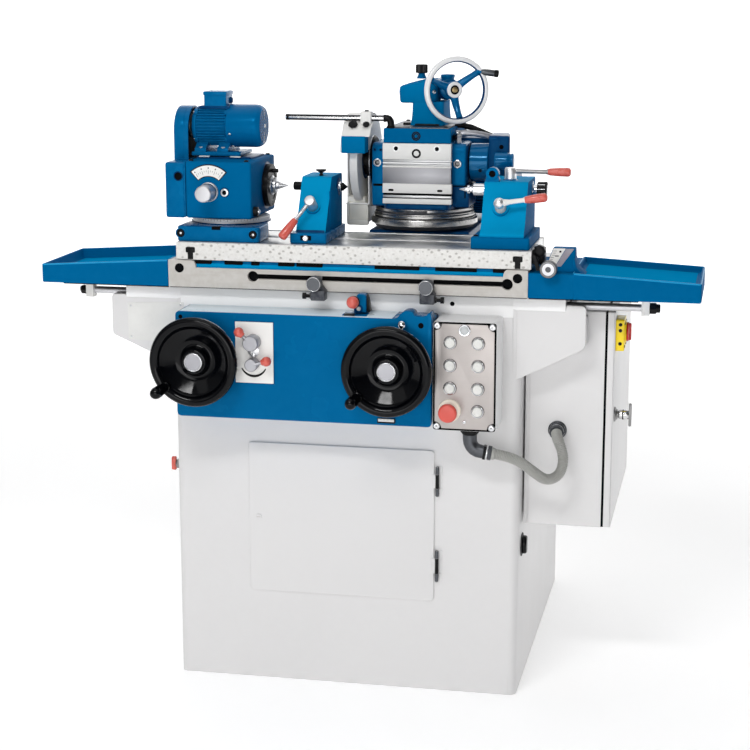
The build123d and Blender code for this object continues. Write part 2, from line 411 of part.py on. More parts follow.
pt = bx(33, 192, 262, 276, 1096, 1208.5) + bx(33, 192, 262, 276, 1073, 1085) + bx(33, 192, 267, 276, 1080, 1100)
pt = pt - bx(30, 195, 261, 265, 1158, 1173) - bx(30, 195, 261, 263, 1118, 1158)
for x in (WS_X - 47.5, WS_X + 47.5):
    pt = pt - cyl((x, 255, 1198), (0, 1, 0), 5, 25)
pt = pt - (cyl((WS_X, 255, 1185), (0, 1, 0), 10, 12) - cyl((WS_X, 255, 1185), (0, 1, 0), 6, 12))
save("attachment_plate", pt)

ws = turned((0, WS_Y, WS_Z), (1, 0, 0), [(16, -58, 304), (36, 279, 302), (34, -24, -12), (28, -52, -42)])
save("wheel_spindle", ws)
gw = cyl((-42, WS_Y, WS_Z), (1, 0, 0), 100, 18) - cyl((-60, WS_Y, WS_Z), (1, 0, 0), 16, 60)
save("grinding_wheel", gw)

wg = cyl((-63, WS_Y, WS_Z), (1, 0, 0), 118, 57) + bx(-63, -17, 300, 440, 1014, 1080)
wg = wg - cyl((-59, WS_Y, WS_Z), (1, 0, 0), 107, 49) - bx(-70, 5, 200, 302, 1056, 1190) - bx(-59, -21, 306, 434, 1018, 1090)
wg = wg - cyl((-12, WS_Y, WS_Z), (1, 0, 0), 40, 13) + bx(-58, -3, 243, 268, 1184, 1224)
wg = wg + (cyl((-7, WS_Y, WS_Z), (1, 0, 0), 56, 12) - cyl((-12, WS_Y, WS_Z), (1, 0, 0), 40, 20))
wg = wg - cyl((-59, WS_Y, WS_Z), (1, 0, 0), 107, 49)
save("wheel_guard", wg)

def guard(x0, d):
    """belt guard outline, d inside the outer faces: tall front lobe narrowing to the rear, low lobe round the motor pulley"""
    a = ex_z([(x0, 300 + d), (320 - d, 300 + d), (320 - d, 318), (299 - d, 480), (x0, 480)], 1080 + d, 1228 - d)
    a = a & ex_x([(290, 1080), (290, 1230), (398 - d, 1230), (475 - d * 1.3, 1128), (475 - d * 1.3, 1080)], 260, 330)
    return a + ex_x([(325 + d, 1078 + d), (325 + d, 1129 - d), (640 - d, 1112 - d), (668 - d, 1086 - d), (668 - d, 1014 + d), (560, 1014 + d)], x0 + 0.5 * (d > 0), 309 - d)


bg = guard(272.6, 0) - guard(276, 4) + cyl((290, 283, 1172), (1, 0, 0), 16, 44) + bx(292, 312, 285, 301, 1163, 1181)
MW = (600.0, 1063.0)
bg = bg - cyl((260, WS_Y, WS_Z), (1, 0, 0), 30, 18) - cyl((260, MW[0], MW[1]), (1, 0, 0), 22, 18)
save("belt_guard", bg)
mw = cyl((62, MW[0], MW[1]), (1, 0, 0), 50, 208) + bx(76, 174, 545, 575, 1030, 1096) + cyl((268, MW[0], MW[1]), (1, 0, 0), 11, 34) + cyl((279, MW[0], MW[1]), (1, 0, 0), 36, 23)
mw = mw + rnd(bx(96, 166, 575, 625, 1100, 1140), Axis.Z, 4)
save("wheel_motor", mw)

HD = Vector(0.454, -0.891, 0)
HH = Vector(184.2, 350.1, 1327)
tc = ex_x([(338, 1243), (450, 1243), (438, 1297), (350, 1297)], 83, 164) + rnd(bx(56, 140, 342, 446, 1296, 1353), Axis.Z, 16)
tc = tc + cyl(HH - HD * 80, HD, 24, 56) + cyl((162, 392, 1330), (0, 0, 1), 14, 32) + cyl((100, 394, 1352), (0, 0, 1), 8, 10)
tc = tc - cyl(HH - HD * 72, HD, 8.05, 60)
rim = cyl(HH + HD * 10, HD, 77.5, 14) - cyl(HH + HD * 9, HD, 63.5, 16)
th = chamfer(rim.edges(), 3)
RX = Vector(0.891, 0.454, 0)
for a in (38, 158, 278):
    e = RX * cos(radians(a)) + Vector(0, 0, 1) * sin(radians(a))
    d = (e * 68 + HD * 22)
    th = th + cyl(HH - HD * 6, d, 6.5, d.length)
th = th + turned(HH, HD, [(8, -70, -2), (16, -23.6, -1)])
e = RX * cos(radians(38)) + Vector(0, 0, 1) * sin(radians(38))
hd = (RX * 0.95 + HD * 0.28 - Vector(0, 0, 1) * 0.12).normalized()
th = th + cyl(HH + HD * 19 + e * 68, hd, 7.5, 46)
save("dresser_handwheel", th)
dkb = cyl((100, 394, 1361.6), (0, 0, 1), 5, 10) + cyl((100, 394, 1368), (0, 0, 1), 14, 15)
save("dresser_column", [tc, dkb])

cp = cyl((-197, 276, 1265), (1, 0, 0), 7, 244) - cyl((-198, 276, 1265), (1, 0, 0), 5, 228)
cp = cp + ball((47, 276, 1265), 8) + cyl((47, 276, 1265), (0, 0, -1), 7, 22)
save("coolant_pipe", cp)
print(len(nodes), "nodes")
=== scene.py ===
import bpy, bmesh
from math import sin, cos, tan, pi, radians, degrees, sqrt, atan2, hypot
from mathutils import Vector, Matrix


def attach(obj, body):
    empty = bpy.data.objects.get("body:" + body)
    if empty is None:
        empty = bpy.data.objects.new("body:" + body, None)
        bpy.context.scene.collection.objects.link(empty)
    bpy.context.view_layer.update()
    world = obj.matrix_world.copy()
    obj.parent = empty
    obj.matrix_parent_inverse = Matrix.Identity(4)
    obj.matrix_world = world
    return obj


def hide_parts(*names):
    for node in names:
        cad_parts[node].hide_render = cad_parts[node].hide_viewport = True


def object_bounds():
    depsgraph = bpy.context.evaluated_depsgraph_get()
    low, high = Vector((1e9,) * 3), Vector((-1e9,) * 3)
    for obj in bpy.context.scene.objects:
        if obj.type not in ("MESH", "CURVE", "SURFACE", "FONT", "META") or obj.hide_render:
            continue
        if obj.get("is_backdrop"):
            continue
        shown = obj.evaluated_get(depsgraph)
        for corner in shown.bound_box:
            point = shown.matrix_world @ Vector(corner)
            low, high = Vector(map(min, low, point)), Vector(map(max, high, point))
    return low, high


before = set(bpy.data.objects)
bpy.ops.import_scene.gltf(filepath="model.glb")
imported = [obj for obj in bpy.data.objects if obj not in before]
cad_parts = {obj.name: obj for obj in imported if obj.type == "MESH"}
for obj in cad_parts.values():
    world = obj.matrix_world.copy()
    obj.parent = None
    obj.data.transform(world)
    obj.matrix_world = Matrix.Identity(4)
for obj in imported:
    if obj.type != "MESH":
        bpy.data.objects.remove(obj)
CAD_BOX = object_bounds()
SCENE = bpy.context.scene
Y0 = 423.0          # part.py's shift of the frame along Y, mm


def W(p):
    """measuring frame in mm -> row frame in metres"""
    return Vector((p[0] / 1000, (p[1] - Y0) / 1000, p[2] / 1000))


def basis(d):
    d = Vector(d).normalized()
    u = Vector((0, 0, 1)) if abs(d.z) < 0.9 else Vector((1, 0, 0))
    x = u.cross(d).normalized()
    return x, d.cross(x), d


def rounded(prof, n=4):
    """(radius, height[, fillet]) profile -> the same with its corners rounded"""
    out = []
    for i, q in enumerate(prof):
        if len(q) < 3 or i in (0, len(prof) - 1) or q[2] <= 0:
            out.append((q[0], q[1]))
            continue
        p = Vector(q[:2])
        a, b = Vector(prof[i - 1][:2]) - p, Vector(prof[i + 1][:2]) - p
        if a.length < 1e-6 or b.length < 1e-6:
            out.append(tuple(p))
            continue
        f = min(q[2], 0.49 * a.length, 0.49 * b.length)
        s, e = p + a.normalized() * f, p + b.normalized() * f
        for k in range(n + 1):
            t = k / n
            out.append(tuple(s * (1 - t) ** 2 + p * 2 * t * (1 - t) + e * t * t))
    return out


def round_poly(pts, r, n=5):
    """closed outline with rounded corners; r is a number or one per corner"""
    out, m = [], len(pts)
    for i in range(m):
        p = Vector(pts[i])
        f = r[i] if isinstance(r, (list, tuple)) else r
        a, b = Vector(pts[i - 1]) - p, Vector(pts[(i + 1) % m]) - p
        f = min(f, 0.49 * a.length, 0.49 * b.length)
        if f <= 0.01:
            out.append(tuple(p))
            continue
        s, e = p + a.normalized() * f, p + b.normalized() * f
        for k in range(n + 1):
            t = k / n
            out.append(tuple(s * (1 - t) ** 2 + p * 2 * t * (1 - t) + e * t * t))
    return out


class Piece:
    def __init__(self, name, body):
        self.name, self.body, self.bm, self.mats = name, body, bmesh.new(), []

    def put(self, tmp, m, flip=False):
        if m not in self.mats:
            self.mats.append(m)
        k = self.mats.index(m)
        for f in tmp.faces:
            f.material_index = k
        if flip:
            bmesh.ops.reverse_faces(tmp, faces=tmp.faces)
        me = bpy.data.meshes.new("tmp")
        tmp.to_mesh(me)
        tmp.free()
        self.bm.from_mesh(me)
        bpy.data.meshes.remove(me)

    def box(self, m, x0, x1, y0, y1, z0, z1, r=1.0, seg=2, mat=None):
        t = bmesh.new()
        bmesh.ops.create_cube(t, size=1.0)
        for v in t.verts:
            v.co = Vector(((x0 + x1) / 2 + v.co.x * (x1 - x0), (y0 + y1) / 2 + v.co.y * (y1 - y0), (z0 + z1) / 2 + v.co.z * (z1 - z0)))
        r = min(r, 0.48 * min(abs(x1 - x0), abs(y1 - y0), abs(z1 - z0)))
        if r > 0:
            bmesh.ops.bevel(t, geom=t.edges[:], offset=r, segments=seg, profile=0.5, affect="EDGES", clamp_overlap=True)
        if mat:
            t.transform(mat)
        self.put(t, m)

    def prism(self, m, pts, axis, a, b, corner=0, r=1.0, seg=2, hole=None, mat=None, n=5):
        """outline (in the two axes other than axis, in order) extruded from a to b; edges bevelled by r"""
        pts = round_poly(pts, corner, n) if corner else [tuple(p) for p in pts]
        def at(p, h):
            return {"x": Vector((h, p[0], p[1])), "y": Vector((p[0], h, p[1])), "z": Vector((p[0], p[1], h))}[axis]
        t = bmesh.new()
        lo, hi = min(a, b), max(a, b)
        v0 = [t.verts.new(at(p, lo)) for p in pts]
        v1 = [t.verts.new(at(p, hi)) for p in pts]
        f0, f1 = t.faces.new(v0), t.faces.new(v1)
        for i in range(len(pts)):
            j = (i + 1) % len(pts)
            t.faces.new((v0[i], v0[j], v1[j], v1[i]))
        bmesh.ops.recalc_face_normals(t, faces=t.faces[:])
        if r > 0:
            es = [e for e in t.edges if len(e.link_faces) == 2 and e.calc_face_angle(0) > radians(28)]
            bmesh.ops.bevel(t, geom=es, offset=min(r, 0.45 * (hi - lo)), segments=seg, profile=0.5, affect="EDGES", clamp_overlap=True)
        if mat:
            t.transform(mat)
        self.put(t, m)

    def lathe(self, m, p, d, prof, seg=40, hexes=(), a0=0.0, a1=360.0, cap=True):
        """profile (radius, height[, fillet]) turned about d through p"""
        prof = rounded(prof)
        x, y, z = basis(d)
        p = Vector(p)
        t = bmesh.new()
        rings = []
        full = abs(a1 - a0) >= 359.9
        nn = seg if full else seg + 1
        for k, (r, h) in enumerate(prof):
            c = p + z * h
            if r < 1e-4:
                rings.append([t.verts.new(c)])
                continue
            ring = []
            for i in range(nn):
                a = radians(a0 + (a1 - a0) * i / seg)
                q = r
                if k in hexes:
                    q = r / cos((a % (pi / 3)) - pi / 6)
                ring.append(t.verts.new(c + x * q * cos(a) + y * q * sin(a)))
            rings.append(ring)
        for A, B in zip(rings, rings[1:]):
            for i in range(seg):
                j = (i + 1) % nn if full else i + 1
                if len(A) == 1 and len(B) == 1:
                    continue
                if len(A) == 1:
                    t.faces.new((A[0], B[j], B[i]))
                elif len(B) == 1:
                    t.faces.new((A[i], A[j], B[0]))
                else:
                    t.faces.new((A[i], A[j], B[j], B[i]))
        if full and cap:
            for R in (rings[0], rings[-1]):
                if len(R) > 1:
                    t.faces.new(R)
        bmesh.ops.recalc_face_normals(t, faces=t.faces[:])
        self.put(t, m)

    def ring(self, m, p, d, prof, seg=40):
        """closed profile turned into a ring"""
        x, y, z = basis(d)
        p = Vector(p)
        t = bmesh.new()
        rings = [[t.verts.new(p + z * h + x * r * cos(2 * pi * i / seg) + y * r * sin(2 * pi * i / seg)) for i in range(seg)] for r, h in prof]
        for k in range(len(rings)):
            A, B = rings[k], rings[(k + 1) % len(rings)]
            for i in range(seg):
                j = (i + 1) % seg
                t.faces.new((A[i], A[j], B[j], B[i]))
        bmesh.ops.recalc_face_normals(t, faces=t.faces[:])
        self.put(t, m)

    def torus(self, m, p, d, R, r, seg=64, n=16, sx=1.0):
        self.ring(m, p, d, [(R + r * cos(2 * pi * k / n), sx * r * sin(2 * pi * k / n)) for k in range(n)], seg)

    def gear(self, m, p, d, r, h, n=40, depth=0.6, ch=1.0):
        """knurled drum"""
        x, y, z = basis(d)
        p = Vector(p)
        t = bmesh.new()
        rings = []
        for hh, k in ((0, 1), (ch, 0), (h - ch, 0), (h, 1)):
            ring = []
            for i in range(2 * n):
                a = pi * i / n
                q = r - k * ch - (depth if i % 2 and not k else 0)
                ring.append(t.verts.new(p + z * hh + x * q * cos(a) + y * q * sin(a)))
            rings.append(ring)
        for A, B in zip(rings, rings[1:]):
            for i in range(2 * n):
                j = (i + 1) % (2 * n)
                t.faces.new((A[i], A[j], B[j], B[i]))
        t.faces.new(rings[0]); t.faces.new(rings[-1])
        bmesh.ops.recalc_face_normals(t, faces=t.faces[:])
        self.put(t, m)

    def ball(self, m, p, r, seg=24):
        t = bmesh.new()
        bmesh.ops.create_uvsphere(t, u_segments=seg, v_segments=seg // 2 + 2, radius=r, matrix=Matrix.Translation(Vector(p)))
        self.put(t, m)

    def tube(self, m, pts, r, seg=14):
        """round bar along a line of points"""
        pts = [Vector(q) for q in pts]
        t = bmesh.new()
        rings = []
        up = None
        for i, q in enumerate(pts):
            d = ((pts[min(i + 1, len(pts) - 1)] - q).normalized() + (q - pts[max(i - 1, 0)]).normalized()).normalized()
            if up is None:
                up = basis(d)[0]
            up = (up - d * up.dot(d)).normalized()
            w = d.cross(up)
            rr = r[i] if isinstance(r, (list, tuple)) else r
            rings.append([t.verts.new(q + up * rr * cos(2 * pi * k / seg) + w * rr * sin(2 * pi * k / seg)) for k in range(seg)])
        for A, B in zip(rings, rings[1:]):
            for k in range(seg):
                j = (k + 1) % seg
                t.faces.new((A[k], A[j], B[j], B[k]))
        t.faces.new(rings[0]); t.faces.new(rings[-1])
        bmesh.ops.recalc_face_normals(t, faces=t.faces[:])
        self.put(t, m)

    def hull(self, m, pts, r=1.0, seg=2):
        """convex block through the given points, edges bevelled by r"""
        t = bmesh.new()
        for q in pts:
            t.verts.new(Vector(q))
        bmesh.ops.convex_hull(t, input=t.verts[:])
        bmesh.ops.dissolve_limit(t, angle_limit=radians(1.0), verts=t.verts[:], edges=t.edges[:])
        bmesh.ops.recalc_face_normals(t, faces=t.faces[:])
        if r > 0:
            bmesh.ops.bevel(t, geom=t.edges[:], offset=r, segments=seg, profile=0.5, affect="EDGES", clamp_overlap=True)
        self.put(t, m)

    def done(self, *nodes, sharp=32, slot=None):
        bmesh.ops.remove_doubles(self.bm, verts=self.bm.verts[:], dist=1e-4)
        for v in self.bm.verts:
            v.co = W(v.co)
        me = bpy.data.meshes.new(self.name)
        self.bm.to_mesh(me)
        self.bm.free()
        for m in self.mats:
            me.materials.append(m)
        me.shade_smooth()
        me.set_sharp_from_angle(angle=radians(sharp))
        o = bpy.data.objects.new(self.name, me)
        SCENE.collection.objects.link(o)
        bpy.context.view_layer.update()
        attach(o, self.body)
        if nodes:
            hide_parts(*nodes)
        return o


# ---------------------------------------------------------------- materials
def lin(r, g, b):
    f = lambda c: (c / 255) / 12.92 if c / 255 <= 0.04045 else ((c / 255 + 0.055) / 1.055) ** 2.4
    return (f(r), f(g), f(b))


class Mat:
    def __init__(self, name):
        self.m = bpy.data.materials.new(name)
        self.m.use_nodes = True
        self.t = self.m.node_tree
        self.n, self.l = self.t.nodes, self.t.links
        self.bsdf = self.n["Principled BSDF"]
        self.tc = self.n.new("ShaderNodeTexCoord")

    def mapped(self, scale=(1, 1, 1), rot=(0, 0, 0)):
        mp = self.n.new("ShaderNodeMapping")
        mp.inputs["Scale"].default_value = scale
        mp.inputs["Rotation"].default_value = rot
        self.l.new(self.tc.outputs["Object"], mp.inputs["Vector"])
        return mp.outputs["Vector"]

    def noise(self, scale, detail=3.0, rough=0.55, vec=None):
        t = self.n.new("ShaderNodeTexNoise")
        t.inputs["Scale"].default_value = scale
        t.inputs["Detail"].default_value = detail
        t.inputs["Roughness"].default_value = rough
        self.l.new(vec or self.tc.outputs["Object"], t.inputs["Vector"])
        return t.outputs["Fac"]

    def voronoi(self, scale, feature="F1", vec=None, out="Distance", spread=1.0):
        t = self.n.new("ShaderNodeTexVoronoi")
        t.feature = feature
        t.inputs["Randomness"].default_value = spread
        t.inputs["Scale"].default_value = scale
        self.l.new(vec or self.tc.outputs["Object"], t.inputs["Vector"])
        return t.outputs[out]

    def ramp(self, fac, stops):
        r = self.n.new("ShaderNodeValToRGB")
        e = r.color_ramp.elements
        while len(e) < len(stops):
            e.new(0.5)
        for k, (p, c) in enumerate(stops):
            e[k].position = p
            e[k].color = tuple(c) + (1.0,) if len(c) == 3 else c
        self.l.new(fac, r.inputs["Fac"])
        return r.outputs["Color"]

    def rng(self, fac, lo, hi, a=0.3, b=0.7):
        r = self.n.new("ShaderNodeMapRange")
        r.inputs["From Min"].default_value = a
        r.inputs["From Max"].default_value = b
        r.inputs["To Min"].default_value = lo
        r.inputs["To Max"].default_value = hi
        self.l.new(fac, r.inputs["Value"])
        return r.outputs["Result"]

    def mix(self, fac, a, b, mode="MIX"):
        x = self.n.new("ShaderNodeMix")
        x.data_type = "RGBA"
        x.blend_type = mode
        if isinstance(fac, (int, float)):
            x.inputs[0].default_value = fac
        else:
            self.l.new(fac, x.inputs[0])
        for v, i in ((a, 6), (b, 7)):
            if isinstance(v, tuple):
                x.inputs[i].default_value = v + (1.0,)
            else:
                self.l.new(v, x.inputs[i])
        return x.outputs[2]

    def math(self, op, a, b=None):
        x = self.n.new("ShaderNodeMath")
        x.operation = op
        for v, i in ((a, 0), (b, 1)):
            if v is None:
                continue
            if isinstance(v, (int, float)):
                x.inputs[i].default_value = v
            else:
                self.l.new(v, x.inputs[i])
        return x.outputs[0]

    def edge(self, lo=0.515, hi=0.56):
        g = self.n.new("ShaderNodeNewGeometry")
        return self.rng(g.outputs["Pointiness"], 0.0, 1.0, lo, hi)

    def bump(self, height, strength, dist=0.0004, after=None):
        b = self.n.new("ShaderNodeBump")
        b.inputs["Strength"].default_value = strength
        b.inputs["Distance"].default_value = dist
        self.l.new(height, b.inputs["Height"])
        if after:
            self.l.new(after, b.inputs["Normal"])
        return b.outputs["Normal"]

    def set(self, color=None, rough=None, normal=None, metal=None, **k):
        for v, name in ((color, "Base Color"), (rough, "Roughness"), (normal, "Normal"), (metal, "Metallic")):
            if v is None:
                continue
            s = self.bsdf.inputs[name]
            if isinstance(v, tuple):
                s.default_value = v + (1.0,)
            elif isinstance(v, (int, float)):
                s.default_value = v
            else:
                self.l.new(v, s)
        for name, v in k.items():
            self.bsdf.inputs[name.replace("_", " ").title().replace("Ior", "IOR")].default_value = v
        return self.m


def tint(c, f):
    return tuple(max(0.0, min(1.0, x * f)) for x in c)


def paint(name, rgb, rough=0.28, var=0.05, coat=0.1, peel=0.02, edge_wear_and_highlight=0.10, edge_wear_and_highlight_rgb=None, spec=0.4, stint=None, fleck=0.02, up=None):
    """sprayed machine enamel: orange peel, slow colour drift, lighter edges that are partly wear and partly a painted
    highlight; with up given, faces leaning upwards are painted lighter as painted light
    """
    m, c = Mat(name), lin(*rgb)
    col = m.ramp(m.noise(4.0, 3.0), [(0.25, tint(c, 1 - var)), (0.5, c), (0.78, tint(c, 1 + var))])
    spots = m.rng(m.noise(160.0, 2.0), 0.0, 1.0, 0.52, 0.75)
    col = m.mix(m.math("MULTIPLY", spots, fleck), col, tint(c, 0.72))
    if up:
        # faces that lean upwards are painted lighter: painted light from above
        sep = m.n.new("ShaderNodeSeparateXYZ")
        m.l.new(m.tc.outputs["Normal"], sep.inputs[0])
        col = m.mix(m.rng(sep.outputs[2], 0.0, 1.0, 0.22, 0.44), col, lin(*up))
    # edges lightened towards a pale tint: partly edge wear, partly a painted highlight
    if edge_wear_and_highlight:
        w = m.math("MULTIPLY", m.edge(), m.rng(m.noise(60.0, 3.0), 0.0, edge_wear_and_highlight, 0.35, 0.65))
        col = m.mix(w, col, lin(*(edge_wear_and_highlight_rgb or (245, 245, 245))))
    r = m.rng(m.noise(12.0, 3.0), max(0.04, rough - 0.03), rough + 0.05)
    nb = m.bump(m.noise(420.0, 2.0), peel, 0.0004)
    m.set(col, r, nb, coat_weight=coat, coat_roughness=0.1, specular_ior_level=spec)
    if stint:
        m.bsdf.inputs["Specular Tint"].default_value = tuple(stint) + (1.0,)
    return m.m


def metal(name, rgb, rough=0.25, streak=(3, 900, 900), var=0.10, bump=0.06, edge_wear_and_highlight=0.0, spots=0.0):
    """machined metal: fine lines along one direction, cloudy roughness"""
    m, c = Mat(name), lin(*rgb)
    v = m.mapped(streak)
    ln = m.noise(1.0, 3.0, 0.6, v)
    col = m.ramp(ln, [(0.2, tint(c, 1 - var)), (0.55, c), (0.85, tint(c, 1 + var))])
    cloud = m.noise(18.0, 3.0)
    col = m.mix(m.math("MULTIPLY", m.rng(cloud, 0.0, 1.0), 0.08), col, tint(c, 0.75))
    if spots:
        col = m.mix(m.math("MULTIPLY", m.rng(m.noise(220.0, 2.0), 0.0, 1.0, 0.55, 0.7), spots), col, tint(c, 0.4))
    r = m.rng(m.math("ADD", m.math("MULTIPLY", ln, 0.6), m.math("MULTIPLY", cloud, 0.4)), rough * 0.85, rough * 1.3)
    return m.set(col, r, m.bump(ln, bump, 0.0003), 1.0)


def plastic(name, rgb, rough=0.3, var=0.06, grain=300.0, bump=0.06, coat=0.0, spec=0.5, edge_wear_and_highlight=0.18):
    m, c = Mat(name), lin(*rgb)
    col = m.ramp(m.noise(30.0, 3.0), [(0.25, tint(c, 1 - var)), (0.5, c), (0.8, tint(c, 1 + var))])
    # edges lightened: partly edge wear, partly a painted highlight
    w = m.math("MULTIPLY", m.edge(), m.rng(m.noise(90.0, 2.0), 0.0, edge_wear_and_highlight))
    col = m.mix(w, col, tuple(0.5 * x + 0.35 for x in c))
    r = m.rng(m.noise(50.0, 3.0), max(0.03, rough - 0.05), rough + 0.08)
    return m.set(col, r, m.bump(m.noise(grain, 2.0), bump, 0.0003), coat_weight=coat, coat_roughness=0.05, specular_ior_level=spec)


SKY = (0.02, 0.42, 0.85)
BLUE = paint("blue_enamel", (0, 95, 148), 0.25, 0.05, 0.0, edge_wear_and_highlight=0.10, edge_wear_and_highlight_rgb=(60, 160, 215), spec=0.36, stint=SKY)
# lighter copy of the blue for tray floors and the recess strip: painted light from above
BLUE_TOPLIT = paint("blue_tray_floor_painted_light", (0, 140, 196), 0.5, 0.05, 0.0, edge_wear_and_highlight=0.05, edge_wear_and_highlight_rgb=(60, 160, 215), spec=0.0, stint=SKY)
BLUEL = paint("blue_low_sheen", (0, 97, 150), 0.5, 0.05, 0.0, edge_wear_and_highlight=0.03, edge_wear_and_highlight_rgb=(60, 160, 215), spec=0.012, stint=SKY)
# blue whose faces leaning upwards are painted lighter: painted light from above
BLUE_UPWARD_LIT = paint("blue_sloped_face_painted_light", (0, 98, 152), 0.5, 0.05, 0.0, edge_wear_and_highlight=0.03, edge_wear_and_highlight_rgb=(60, 160, 215), spec=0.012, stint=SKY, up=(4, 144, 196))
# lighter copy of the blue enamel for the nose block and the pillar: painted light
BLUE_LIT_COPY = paint("blue_enamel_painted_light", (0, 114, 168), 0.5, 0.05, 0.0, edge_wear_and_highlight=0.04, edge_wear_and_highlight_rgb=(60, 160, 215), spec=0.012, stint=SKY)
BLUEG = paint("blue_round_gloss", (0, 92, 145), 0.12, 0.05, 0.0, edge_wear_and_highlight=0.06, edge_wear_and_highlight_rgb=(60, 160, 215), spec=0.62, stint=(0.25, 0.62, 0.95))
# lighter blue for the rolled rims: painted highlight
BLUE_RIM_HIGHLIGHT = paint("blue_rolled_rim_painted_highlight", (34, 146, 200), 0.3, 0.05, 0.0, edge_wear_and_highlight=0.05, edge_wear_and_highlight_rgb=(120, 200, 235), spec=0.05, stint=SKY)
# darker copy of the blue enamel for parts under, behind or inside others: painted shade
BLUE_SHADED = paint("blue_enamel_painted_shade", (4, 52, 98), 0.32, 0.06, 0.02, edge_wear_and_highlight=0.08, edge_wear_and_highlight_rgb=(60, 120, 170), spec=0.3, stint=SKY)
WHITE = paint("white_enamel", (226, 225, 225), 0.34, 0.006, 0.05, 0.012, edge_wear_and_highlight=0.03, edge_wear_and_highlight_rgb=(250, 250, 250), spec=0.3, fleck=0.006)
WHITE2 = paint("white_plate", (240, 239, 236), 0.38, 0.02, 0.05)
# pale tint for the apron top: painted reflection of the white lip
PALE_REFLECTION = paint("pale_top_painted_reflection", (231, 246, 255), 0.3, 0.05, 0.1, edge_wear_and_highlight=0.05)
GREY = paint("table_grey", (194, 190, 184), 0.36, 0.04, 0.05, edge_wear_and_highlight=0.15)
CREAM = paint("guard_cream", (236, 234, 224), 0.36, 0.04, 0.05)
PURPLE = paint("block_grey", (150, 146, 158), 0.4, 0.06, 0.05)
STEEL = metal("ground_steel_x", (206, 206, 205), 0.30)
STEELD = metal("steel_dull", (150, 150, 150), 0.38, (40, 900, 900))
STEELT = metal("turned_steel", (214, 214, 214), 0.20, (300, 300, 300), 0.12)
BRUSH = metal("brushed_plate", (196, 197, 198), 0.34, (2.5, 1200, 1200), 0.14, 0.10)
CHROME = metal("chrome", (232, 233, 236), 0.09, (60, 60, 60), 0.02, 0.0)
SATIN = metal("satin_knob", (212, 212, 215), 0.44, (400, 400, 400), 0.03, 0.008)
POLISH = plastic("polished_rim", (240, 240, 241), 0.12, 0.02, 200.0, 0.02, 0.5, 0.6)
BRASS = metal("brass_tip", (190, 166, 120), 0.3, (200, 200, 200), 0.08)
MIDGREY = metal("plate_middle", (158, 158, 162), 0.42, (2.5, 900, 900), 0.08, 0.05)
SILVER = metal("satin_silver", (214, 215, 217), 0.26, (200, 200, 200), 0.03, 0.01)
IRON = metal("machined_iron", (112, 113, 115), 0.42, (400, 4, 400), 0.15, spots=0.3)
BLACK = plastic("black_bakelite", (3, 4, 7), 0.09, 0.10, 160.0, 0.008, 0.0, 0.19, 0.01)
PANELG = metal("panel_plate_grey", (186, 180, 177), 0.42, (2.5, 1200, 1200), 0.06, 0.03)
# lighter copy of the white enamel for the lip under the table and the button box: painted light
WHITE_LIT = paint("white_painted_light", (250, 250, 250), 0.34, 0.006, 0.0, 0.012, edge_wear_and_highlight=0.03, spec=0.3, fleck=0.004)
LEVGREY = metal("lever_grey", (176, 176, 181), 0.42, (300, 300, 300), 0.05, 0.01)
BLACKM = plastic("black_oxide", (8, 8, 10), 0.34, 0.16, 420.0, 0.06, 0.0, 0.15, 0.03)
# near-black for gaps, holes, slots and sockets drawn without depth: painted shade
GAP_SHADE = plastic("painted_gap_shade", (7, 8, 10), 0.7, 0.15, 300.0, 0.05, 0.0, 0.03, 0.01)
# grey-black for recesses and grooves: painted shade
SHADE = plastic("painted_recess_shade", (52, 54, 60), 0.55, 0.12, 300.0, 0.05, 0.0, 0.2)
RED = plastic("red_grip", (214, 92, 78), 0.28, 0.05, 260.0, 0.05, 0.3)
REDS = plastic("stop_red", (216, 82, 70), 0.32, 0.05, 260.0, 0.05, 0.2)
SWRED = plastic("switch_red", (196, 22, 20), 0.3, 0.06)
YELLOW = plastic("switch_yellow", (255, 222, 16), 0.35, 0.05, 300.0, 0.04, 0.0, 0.3)
BUTTON = plastic("button_ivory", (226, 226, 222), 0.28, 0.03, 300.0, 0.03, 0.3)
LAMP = plastic("lamp_lens", (196, 200, 202), 0.12, 0.05, 200.0, 0.02, 0.6)
CONDUIT = plastic("conduit_grey", (164, 164, 160), 0.42, 0.08, 500.0, 0.12)
GLAND = metal("gland_grey", (92, 94, 98), 0.36, (200, 200, 200), 0.12, 0.05, spots=0.2)
STONE = plastic("abrasive_white", (246, 245, 242), 0.85, 0.04, 900.0, 0.3, 0.0, 0.2)
GLASS = plastic("sight_glass", (30, 34, 38), 0.06, 0.10, 120.0, 0.01, 0.8)
RUBBER = plastic("black_rubber", (28, 28, 29), 0.6, 0.10, 500.0, 0.15)
PLATE = plastic("info_plate", (232, 232, 229), 0.34, 0.05, 260.0, 0.05)
INK = plastic("print_grey", (96, 98, 100), 0.5, 0.10)
GEARGREY = plastic("switchgear_grey", (64, 67, 72), 0.45, 0.12, 300.0, 0.05, 0.0, 0.3)
DOGGREY = plastic("dog_grey", (44, 48, 58), 0.4, 0.14, 300.0, 0.08, 0.0, 0.3)
RINGGREY = metal("ring_turned", (176, 175, 174), 0.24, (6, 6, 700), 0.10, 0.02)
BALLW = metal("ball_satin", (246, 246, 247), 0.40, (300, 300, 300), 0.02, 0.006)
KNOBGREY = metal("knob_grey", (122, 122, 124), 0.4, (300, 300, 300), 0.10, 0.04)
COLLAR = plastic("collar_cream", (250, 242, 226), 0.34, 0.04, 300.0, 0.03)


